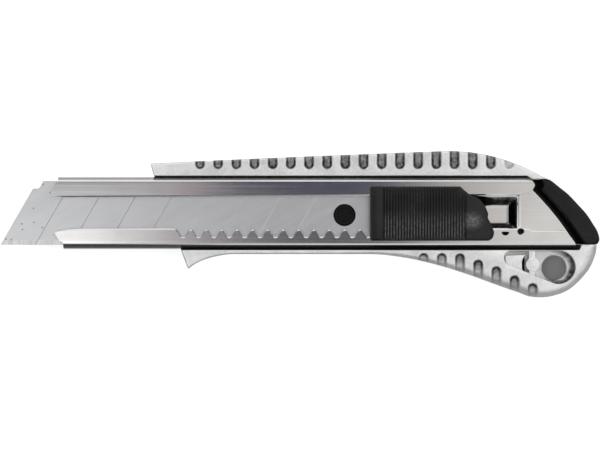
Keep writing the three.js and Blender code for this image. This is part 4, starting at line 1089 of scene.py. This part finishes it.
def cast_grain_group():
    """Die-cast skin: cloudy light and dark patches, a fine pebbled grain and a few small pits."""
    tree, wire, given, out = new_group("cast_grain", [
        ("Light", "c", (0.8, 0.8, 0.8, 1)), ("Dark", "c", (0.5, 0.5, 0.5, 1)),
        ("Rough low", "f", 0.3), ("Rough high", "f", 0.5),
    ], FINISH_OUT)
    here = wire.own()
    cloud = wire.noise(here, 160, 4)
    grain = wire.noise(here, 1500, 3, 0.7)
    fine = wire.noise(here, 4200, 2)
    pits = wire.add("TexVoronoi", {"Vector": here, "Scale": 620.0, "Randomness": 1.0}).outputs[0]
    pit = wire.ramp(wire.math("ADD", pits, wire.times(cloud, 0.35)), 0.16, 0.3, 1.0, 0.0)
    tone = wire.ramp(wire.weighed(cloud, 0.55, grain, 0.5), 0.34, 0.66)
    tone = wire.math("SUBTRACT", tone, wire.times(pit, 0.5), clamp=True)
    wire.join(wire.mix(tone, given["Dark"], given["Light"]), out["Color"])
    spread = wire.ramp(wire.math("ADD", grain, wire.times(cloud, 0.4)), 0.5, 0.9)
    wire.join(wire.between(spread, given["Rough low"], given["Rough high"]), out["Roughness"])
    height = wire.weighed(grain, 0.7, fine, 0.3)
    wire.join(wire.math("SUBTRACT", height, wire.times(pit, 0.8)), out["Height"])
    return tree


def rolled_grain_group():
    """Rolled sheet: long fine lines along the sheet, slow stains and a scatter of tiny scratches."""
    tree, wire, given, out = new_group("rolled_grain", [
        ("Light", "c", (0.8, 0.8, 0.8, 1)), ("Dark", "c", (0.5, 0.5, 0.5, 1)), ("Turn", "f", 0.0),
        ("Rough low", "f", 0.15), ("Rough high", "f", 0.3), ("Scratches", "f", 0.5),
    ], FINISH_OUT)
    about_z = {"Vector": wire.own(), "Angle": given["Turn"]}
    turned = wire.add("VectorRotate", about_z, rotation_type="Z_AXIS").outputs[0]
    lines = wire.noise(wire.scaled(turned, (25, 3000, 25)), 1, 3, 0.6)
    wide = wire.noise(wire.scaled(turned, (12, 420, 12)), 1, 3, 0.5)
    stained = wire.noise(turned, 130, 4)
    scratch = wire.ramp(wire.noise(wire.scaled(turned, (90, 2600, 90), 0.5), 1, 2, 0.4), 0.7, 0.76)
    scratch = wire.times(scratch, wire.ramp(stained, 0.5, 0.62))
    scratch = wire.times(scratch, given["Scratches"])
    tone = wire.math("ADD", wire.weighed(lines, 0.35, wide, 0.35), wire.times(stained, 0.4))
    tone = wire.math("SUBTRACT", wire.ramp(tone, 0.38, 0.68), wire.times(scratch, 0.5), clamp=True)
    wire.join(wire.mix(tone, given["Dark"], given["Light"]), out["Color"])
    spread = wire.ramp(wire.math("ADD", lines, wire.times(scratch, 0.8)), 0.35, 0.9)
    wire.join(wire.between(spread, given["Rough low"], given["Rough high"]), out["Roughness"])
    wire.join(wire.math("SUBTRACT", wire.weighed(lines, 0.6, wide, 0.4), scratch), out["Height"])
    return tree


def moulded_grain_group():
    """Moulded plastic: a fine spark-eroded texture, handling shine in patches and pale dust."""
    tree, wire, given, out = new_group("moulded_grain", [
        ("Light", "c", (0.05, 0.05, 0.05, 1)), ("Dark", "c", (0.02, 0.02, 0.02, 1)),
        ("Rough low", "f", 0.3), ("Rough high", "f", 0.5), ("Dust", "f", 0.3),
    ], FINISH_OUT)
    here = wire.own()
    fine = wire.noise(here, 3600, 2, 0.6)
    patch = wire.noise(here, 210, 3)
    speck = wire.ramp(wire.noise(here, 2300, 2, 0.4), 0.66, 0.72)
    dust = wire.times(wire.times(speck, wire.ramp(patch, 0.45, 0.7)), given["Dust"])
    tone = wire.ramp(wire.weighed(patch, 0.6, fine, 0.4), 0.35, 0.65)
    base = wire.mix(tone, given["Dark"], given["Light"])
    wire.join(wire.mix(dust, base, (0.35, 0.34, 0.33, 1)), out["Color"])
    spread = wire.ramp(wire.weighed(patch, 0.7, fine, 0.3), 0.3, 0.7)
    wire.join(wire.between(spread, given["Rough low"], given["Rough high"]), out["Roughness"])
    wire.join(fine, out["Height"])
    return tree


GROUPS = {
    "cast_grain": cast_grain_group(), "rolled_grain": rolled_grain_group(),
    "moulded_grain": moulded_grain_group(),
}


BUMP_HEIGHT = 0.0001


def finish(name, group, metal, bump, values, tint=None, specular=0.5):
    """A material whose colour, roughness and bump come from one shared group. `tint` may wire
    the group's colour through further nodes before it reaches the shader."""
    made = bpy.data.materials.new(name)
    made.use_nodes = True
    tree = made.node_tree
    wire = Wiring(tree)
    shader = tree.nodes["Principled BSDF"]
    shader.inputs["Metallic"].default_value = metal
    shader.inputs["Specular IOR Level"].default_value = specular
    node = tree.nodes.new("ShaderNodeGroup")
    node.node_tree = GROUPS[group]
    for label, value in values.items():
        node.inputs[label].default_value = value
    color = node.outputs["Color"]
    if tint:
        color = tint(wire, color)
    wire.join(color, shader.inputs["Base Color"])
    wire.join(node.outputs["Roughness"], shader.inputs["Roughness"])
    raised = wire.add("Bump", {"Strength": bump, "Distance": BUMP_HEIGHT, "Height": node.outputs["Height"]})
    wire.join(raised.outputs[0], shader.inputs["Normal"])
    return made


def grey(level, warm=0.0):
    """A grey, pulled towards red and away from blue by its warmth."""
    return (level * (1 + warm), level, level * (1 - warm), 1)


def world_x(x):
    """X in the frame's metres, from the knife's own millimetres."""
    return (x + ORIGIN[0]) * MM


def ground_edge(wire, color):
    """The honed edge: a paler band along the bottom, crossed by upright grinding lines. Small dark
    specks lie near the blade's tip."""
    own, axes = wire.own(), wire.axes()
    edge = (ORIGIN[1] + BLADE_LOW[1] + GROUND) * MM
    band = wire.ramp(axes[1], edge + 0.00005, edge - 0.00005)
    lines = wire.noise(wire.scaled(own, (2200, 60, 60)), 1, 2, 0.6)
    pale = wire.mix(wire.ramp(lines, 0.35, 0.65), grey(0.56), grey(0.72))
    speck = wire.add("TexVoronoi", {"Vector": own, "Scale": 240.0}, voronoi_dimensions="2D").outputs[0]
    near_tip = wire.ramp(axes[0], world_x(17), world_x(12))
    color = wire.mix(wire.times(wire.ramp(speck, 0.04, 0.06, 0.8, 0.0), near_tip), color, grey(0.08))
    return wire.mix(wire.times(band, 0.85), color, pale)


def painted_shade_tint(wire, color):
    """Painted shade from the piece's own attribute, broken up by the cast surface."""
    amount = wire.add("Attribute", attribute_name="painted_shade").outputs["Fac"]
    patchy = wire.ramp(wire.noise(wire.own(), 900, 3), 0.3, 0.7, 0.75, 1.1)
    # painted shade: the colour mixes towards near-black where the attribute is high
    return wire.mix(wire.math("MULTIPLY", amount, patchy, clamp=True), color, (0.035, 0.036, 0.04, 1))


def wear_and_highlight_tint(wire, color):
    """Paler plastic where the piece's own attribute says so, in broken patches: partly wear and partly
    painted highlight.
    """
    amount = wire.add("Attribute", attribute_name="wear_and_highlight").outputs["Fac"]
    patchy = wire.ramp(wire.noise(wire.own(), 1300, 3, 0.6), 0.35, 0.65, 0.35, 1.2)
    # partly wear, partly painted highlight: the colour mixes towards a paler grey
    return wire.mix(wire.math("MULTIPLY", amount, patchy, clamp=True), color, grey(0.15))


CAST = finish("cast_alloy", "cast_grain", 0.65, 0.45, {
    "Light": grey(0.98, 0.004), "Dark": grey(0.8), "Rough low": 0.30, "Rough high": 0.46,
}, painted_shade_tint)
STAINLESS = finish("guide_steel", "rolled_grain", 1.0, 0.05, {
    "Light": grey(0.73, 0.012), "Dark": grey(0.665, 0.012),
    "Rough low": 0.13, "Rough high": 0.21, "Scratches": 0.5,
}, painted_shade_tint)
BLADE = finish("blade_steel", "rolled_grain", 1.0, 0.02, {
    "Light": (0.715, 0.722, 0.735, 1), "Dark": (0.665, 0.673, 0.685, 1), "Turn": math.radians(-30),
    "Rough low": 0.36, "Rough high": 0.46, "Scratches": 0.3,
}, ground_edge)
RIVET = finish("rivet_steel", "rolled_grain", 1.0, 0.2, {
    "Light": grey(0.6), "Dark": grey(0.42), "Rough low": 0.25, "Rough high": 0.45, "Scratches": 0.8,
})
SPRING = finish("spring_steel", "rolled_grain", 1.0, 0.15, {
    "Light": grey(0.5, 0.02), "Dark": grey(0.36, 0.02),
    "Rough low": 0.2, "Rough high": 0.35, "Scratches": 0.5,
})
SLIDER = finish("slider_plastic", "moulded_grain", 0.0, 0.25, {
    "Light": grey(0.017), "Dark": grey(0.010), "Rough low": 0.42, "Rough high": 0.58, "Dust": 0.25,
}, wear_and_highlight_tint, specular=0.3)
CARRIER = finish("carrier_plastic", "moulded_grain", 0.0, 0.2, {
    "Light": grey(0.008), "Dark": grey(0.005), "Rough low": 0.4, "Rough high": 0.55, "Dust": 0.1,
}, specular=0.12)
CAP = finish("cap_plastic", "moulded_grain", 0.0, 0.2, {
    "Light": grey(0.012), "Dark": grey(0.007), "Rough low": 0.34, "Rough high": 0.48, "Dust": 0.15,
}, specular=0.22)


# ---- Putting the knife together ----------------------------------------------------------
def fit(piece, body, finish_made, slot, *nodes):
    """Finishes a new piece, and lets it stand for the frame's plain one on the same body."""
    piece.data.materials.clear()
    piece.data.materials.append(finish_made)
    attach(piece, body)
    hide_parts(*nodes)


fit(cast_handle(), "handle", CAST, "cast_alloy", "handle_casting")
fit(blade_guide(), "handle", STAINLESS, "guide_steel", "blade_guide")
front_rivet = rivet("front_rivet", RIVET_FRONT_LOW, RIVET_FRONT_HIGH, 0.5)
fit(front_rivet, "handle", RIVET, "rivet_steel", "guide_rivet_front")
rear_rivet = rivet("rear_rivet", RIVET_REAR_LOW, RIVET_REAR_HIGH, 0.6)
fit(rear_rivet, "handle", RIVET, "rivet_steel", "guide_rivet_rear")
fit(segment_blade(), "slider", BLADE, "blade_steel", "snap_blade")
fit(carrier(), "slider", CARRIER, "slider_plastic", "blade_carrier")
fit(ribbed_pad(), "pad", SLIDER, "slider_plastic", "thumb_pad")
fit(tail_cap(), "cap", CAP, "cap_plastic", "end_cap")
for node, kept in (("lock_spring", SPRING), ("spring_rivet", RIVET)):
    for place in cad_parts[node].material_slots:
        place.material = kept


# ---- Floor, light and camera -------------------------------------------------------------
def sheet_of(name, x0, x1, y0, y1, z, top=None):
    """A flat sheet; it stands upright along its y0 when it is given a top."""
    corners = [(x0, y0, z), (x1, y0, z), (x1, y1, z), (x0, y1, z)]
    if top is not None:
        corners = [(x0, y0, z), (x1, y0, z), (x1, y0, top), (x0, y0, top)]
    made = bpy.data.meshes.new(name)
    made.from_pydata(corners, [], [(0, 1, 2, 3)])
    laid = bpy.data.objects.new(name, made)
    bpy.context.scene.collection.objects.link(laid)
    return laid


def plain(sheet, level):
    """Gives a sheet one even matt grey; returns the wiring and the shader's inputs."""
    made = bpy.data.materials.new(sheet.name + "_matt")
    made.use_nodes = True
    inputs = made.node_tree.nodes["Principled BSDF"].inputs
    inputs["Base Color"].default_value = grey(level)
    inputs["Roughness"].default_value = 0.9
    inputs["Emission Color"].default_value = grey(1.0)
    sheet.data.materials.append(made)
    return Wiring(made.node_tree), inputs


def softbox(name, place, size, radiance, aim=(0, 0, 0)):
    """A flat rectangular lamp of even brightness, facing the knife."""
    lamp = bpy.data.lights.new(name, "AREA")
    lamp.shape = "RECTANGLE"
    lamp.size, lamp.size_y = size
    lamp.energy = radiance * math.pi * size[0] * size[1]
    made = bpy.data.objects.new(name, lamp)
    made.location = place
    made.rotation_euler = (Vector(aim) - Vector(place)).to_track_quat("-Z", "Y").to_euler()
    bpy.context.scene.collection.objects.link(made)
    return made


def mirrored(made):
    """Leaves a sheet to be seen only in reflections."""
    made.visible_camera = made.visible_diffuse = made.visible_shadow = made.visible_transmission = False
    return made


# The floor glows a little, as a light table does, except for a painted shade under the lanyard hole, where
# it is grey and does not glow.
FLOOR_GREY, FLOOR_GLOW, SHADE_GREY = 0.9, 0.6, 0.4
SHADE_FROM, SHADE_TO = 0.0045, 0.006
floor = sheet_of("floor", -3, 3, -3, 3, -0.0002)
floor.visible_glossy = False
table, floor_inputs = plain(floor, FLOOR_GREY)
under_hole = tuple((np.array([LANYARD_X, LANYARD_Y, 0]) + ORIGIN) * MM)
reach = table.add("VectorMath", {0: table.own(), 1: under_hole}, operation="DISTANCE").outputs["Value"]
# painted shade: round the spot under the lanyard hole the glow fades out and the grey darkens
table.join(table.ramp(reach, SHADE_FROM, SHADE_TO, 0.0, FLOOR_GLOW), floor_inputs["Emission Strength"])
lit = table.ramp(reach, SHADE_FROM, SHADE_TO)
table.join(table.mix(lit, grey(SHADE_GREY), grey(FLOOR_GREY)), floor_inputs["Base Color"])

# A glowing board overhead is what the polished faces mirror: bright over both ends, dark in the
# middle, and brighter on the belly side in front than on the spine side.
BOARD_HEIGHT, BOARD_GAIN = 0.3, 1.8
BLACK = 0.02  # the grey of every board, so that it only glows


def banded(wire, value, stops):
    """A colour ramp with a stop at each (place, red, green, blue)."""
    node = wire.add("ValToRGB", {0: value})
    marks = node.color_ramp.elements
    while len(marks) < len(stops):
        marks.new(0.5)
    for mark, (where, *rgb) in zip(marks, stops):
        mark.position, mark.color = where, (*rgb, 1)
    return node.outputs[0]


# The board's two halves, over the spine and over the belly, as stops from the blade's end of the
# board to the tail's.
SPINE_SIDE = [
    (0.0, 0.21, 0.22, 0.235), (0.29, 0.235, 0.23, 0.235), (0.345, 0.26, 0.21, 0.22),
    (0.38, 0.03, 0.03, 0.05), (0.62, 0.0, 0.006, 0.03), (0.69, 0.2, 0.19, 0.19),
    (0.79, 0.36, 0.345, 0.335), (1.0, 0.5, 0.5, 0.49),
]
BELLY_SIDE = [
    (0.0, 0.98, 0.98, 0.97), (0.17, 0.9, 0.9, 0.89), (0.248, 0.5, 0.5, 0.5),
    (0.311, 0.31, 0.29, 0.3), (0.40, 0.15, 0.14, 0.155), (0.50, 0.06, 0.058, 0.07),
    (0.64, 0.06, 0.06, 0.072), (0.70, 0.25, 0.245, 0.24), (0.79, 0.46, 0.45, 0.44),
    (1.0, 0.52, 0.52, 0.51),
]
board = mirrored(sheet_of("board", -0.22, 0.22, -0.14, 0.14, BOARD_HEIGHT))
glass, board_inputs = plain(board, BLACK)
across = glass.axes()
along = glass.ramp(across[0], -0.12, 0.12)
along.node.interpolation_type = "LINEAR"
side = glass.ramp(across[1], -0.003, 0.009)
shown = glass.mix(side, banded(glass, along, BELLY_SIDE), banded(glass, along, SPINE_SIDE))
glass.join(shown, board_inputs["Emission Color"])
board_inputs["Emission Strength"].default_value = BOARD_GAIN

# Both long sides mirror a pale board that stands over a darker strip, and their undersides a dim
# sheet on the floor.
ASIDE, WIDE, HIGH = 0.3, 0.7, 0.62
SPINE_AT, BELLY_FRONT_AT, BELLY_REAR_AT = 0.02, -0.04, 0.03  # where one board gives way to the next
SPINE_LOW, BELLY_FRONT_LOW, BELLY_LOW, BELLY_REAR_LOW = 0.15, 0.42, 0.22, 0.14  # each board's foot
DIM = 0.03
for name, x0, x1, y, low, high, level in (
    ("spine_board", -WIDE, WIDE, ASIDE, SPINE_LOW, HIGH, 1.1),
    ("spine_front_strip", -WIDE, SPINE_AT, ASIDE, 0, SPINE_LOW, 0.42),
    ("spine_strip", SPINE_AT, WIDE, ASIDE, 0, SPINE_LOW, DIM),
    ("belly_front", -WIDE, BELLY_FRONT_AT, -ASIDE, BELLY_FRONT_LOW, HIGH, 0.7),
    ("belly_front_strip", -WIDE, BELLY_FRONT_AT, -ASIDE, 0, BELLY_FRONT_LOW, DIM),
    ("belly_board", BELLY_FRONT_AT, BELLY_REAR_AT, -ASIDE, BELLY_LOW, HIGH, 0.8),
    ("belly_strip", BELLY_FRONT_AT, BELLY_REAR_AT, -ASIDE, 0, BELLY_LOW, DIM),
    ("belly_rear", BELLY_REAR_AT, WIDE, -ASIDE, BELLY_REAR_LOW, HIGH, 0.8),
    ("belly_rear_strip", BELLY_REAR_AT, WIDE, -ASIDE, 0, BELLY_REAR_LOW, DIM),
):
    stood = mirrored(sheet_of(name, x0, x1, y, y, low, high))
    plain(stood, BLACK)[1]["Emission Strength"].default_value = level
sheen = mirrored(sheet_of("sheen", -WIDE, WIDE, -ASIDE, ASIDE, -0.0001))
dim, sheen_inputs = plain(sheen, BLACK)
dim.join(dim.ramp(dim.axes()[1], -0.012, 0.002, 0.12, 0.5), sheen_inputs["Emission Strength"])

world = bpy.data.worlds.new("studio")
bpy.context.scene.world = world
world.use_nodes = True
sky = world.node_tree.nodes["Background"].inputs
sky["Color"].default_value, sky["Strength"].default_value = (0.95, 0.98, 1.0, 1), 0.27
bpy.context.scene.view_settings.view_transform = "Standard"

softbox("overhead", (0, 0, 1.7), (2.4, 2.4), 0.8).visible_glossy = False
softbox("key", (-0.5, 1.0, 0.95), (1.3, 0.8), 1.5).visible_glossy = False
softbox("side", (1.2, 0.2, 0.9), (0.7, 0.8), 1.2)

LENS = 250
SENSOR = 36
VIEW_WIDTH = 0.16854
AIM_X, AIM_Y, AIM_Z = 0.00003, -0.00024, 0.009
camera_data = bpy.data.cameras.new("camera")
camera_data.lens, camera_data.sensor_width = LENS, SENSOR
camera_data.clip_start, camera_data.clip_end = 0.05, 10
camera = bpy.data.objects.new("camera", camera_data)
camera.location = (AIM_X, AIM_Y, AIM_Z + VIEW_WIDTH * LENS / SENSOR)
bpy.context.scene.collection.objects.link(camera)
bpy.context.scene.camera = camera
